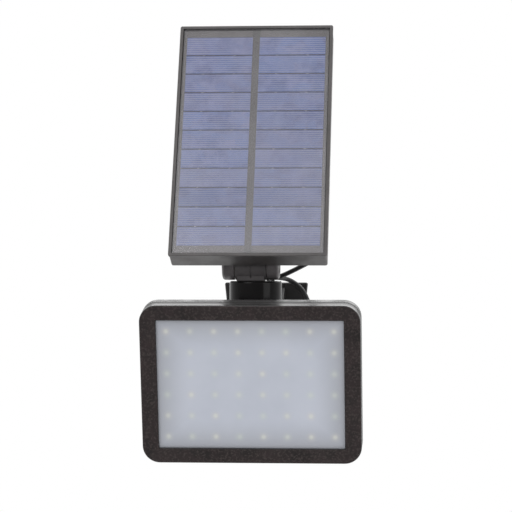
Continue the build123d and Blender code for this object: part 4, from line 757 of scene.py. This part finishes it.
def battery_wrap():
    """Shrink sleeve on the cells, with soft wrinkles."""
    paint = Paint("battery_wrap_paint")
    wrinkle = paint.noise(0.003, 3.0, 0.6, paint.stretched(paint.coords, WRINKLE_STRETCH))
    base = paint.mix(paint.ranged(wrinkle, *PATCH_RANGE), (0.025, 0.09, 0.22), (0.04, 0.13, 0.30))
    paint.surface(base_color=base, roughness=0.25, normal=paint.relief(wrinkle, 0.0001))
    return paint.material


BRACKET_GREY = (0.105, 0.097, 0.100)

# one for each material slot of the record
MATERIALS = {
    "bracket_plastic": moulded_plastic("bracket_plastic_paint", (0.009, 0.0082, 0.0085), 0.45),
    "turret_plastic": turret_plastic(),
    "tray_plastic": moulded_plastic("tray_plastic_paint", (0.050, 0.046, 0.046), 0.42),
    "head_plastic": moulded_plastic("head_plastic_paint", (0.024, 0.023, 0.023), 0.38, depth=0.00003),
    "gland_plastic": moulded_plastic("gland_plastic_paint", (0.018, 0.018, 0.019), 0.36, depth=0.00002),
    "washer_plastic": moulded_plastic("washer_plastic_paint", (0.30, 0.29, 0.27), 0.4, depth=0.00001),
    "component_black": moulded_plastic("component_black_paint", (0.02, 0.02, 0.021), 0.45),
    "white_plastic": moulded_plastic("white_plastic_paint", (0.62, 0.62, 0.60), 0.42, wear=0.1),
    "seal_rubber": seal_rubber("seal_rubber_paint", (0.012, 0.012, 0.012)),
    "button_rubber": seal_rubber("button_rubber_paint", (0.20, 0.012, 0.010)),
    "cable_jacket": cable_jacket(),
    "plain_steel": metal("plain_steel_paint", (0.55, 0.54, 0.52), 0.30, (0.38, 0.36, 0.33)),
    "black_steel": metal("black_steel_paint", (0.085, 0.085, 0.088), 0.38, (0.05, 0.048, 0.046)),
    "bracket_metal": moulded_plastic("bracket_coating_paint", BRACKET_GREY, 0.40, depth=0.00002),
    "ribbon_metal": metal("ribbon_metal_paint", (0.66, 0.65, 0.62), 0.28, (0.5, 0.49, 0.46)),
    "cell_silicon": cell_silicon(),
    "panel_glass": panel_glass(),
    "backing_board": backing_board(),
    "frosted_window": frosted_window(),
    "white_board": webbed_finish("white_board_paint", (0.72, 0.72, 0.71), (0.80, 0.80, 0.79), 0.4),
    "green_board": webbed_finish("green_board_paint", (0.015, 0.11, 0.04), (0.03, 0.17, 0.06), 0.3),
    "led_phosphor": webbed_finish("led_phosphor_paint", (0.75, 0.62, 0.16), (0.80, 0.70, 0.24), 0.5),
    "battery_wrap": battery_wrap(),
}

# nodes whose finish differs from the rest of their slot's
OWN_PAINT = {
    "front_bezel": bezel_plastic(),
    "panel_bracket": moulded_plastic("hinge_ear_paint", BRACKET_GREY, 0.40, depth=0.00002),
}


def paint_nodes():
    """Gives every carried-over node its own paint, or else the material of its slot."""
    slots = {part["node"]: part["material_slot"] for part in frame["record"]["subparts"]}
    for name, node in NODES.items():
        node.data.materials.clear()
        node.data.materials.append(OWN_PAINT.get(name, MATERIALS[slots[name]]))


paint_nodes()
for cable in LEADS:
    cable.data.materials.append(MATERIALS["cable_jacket"])
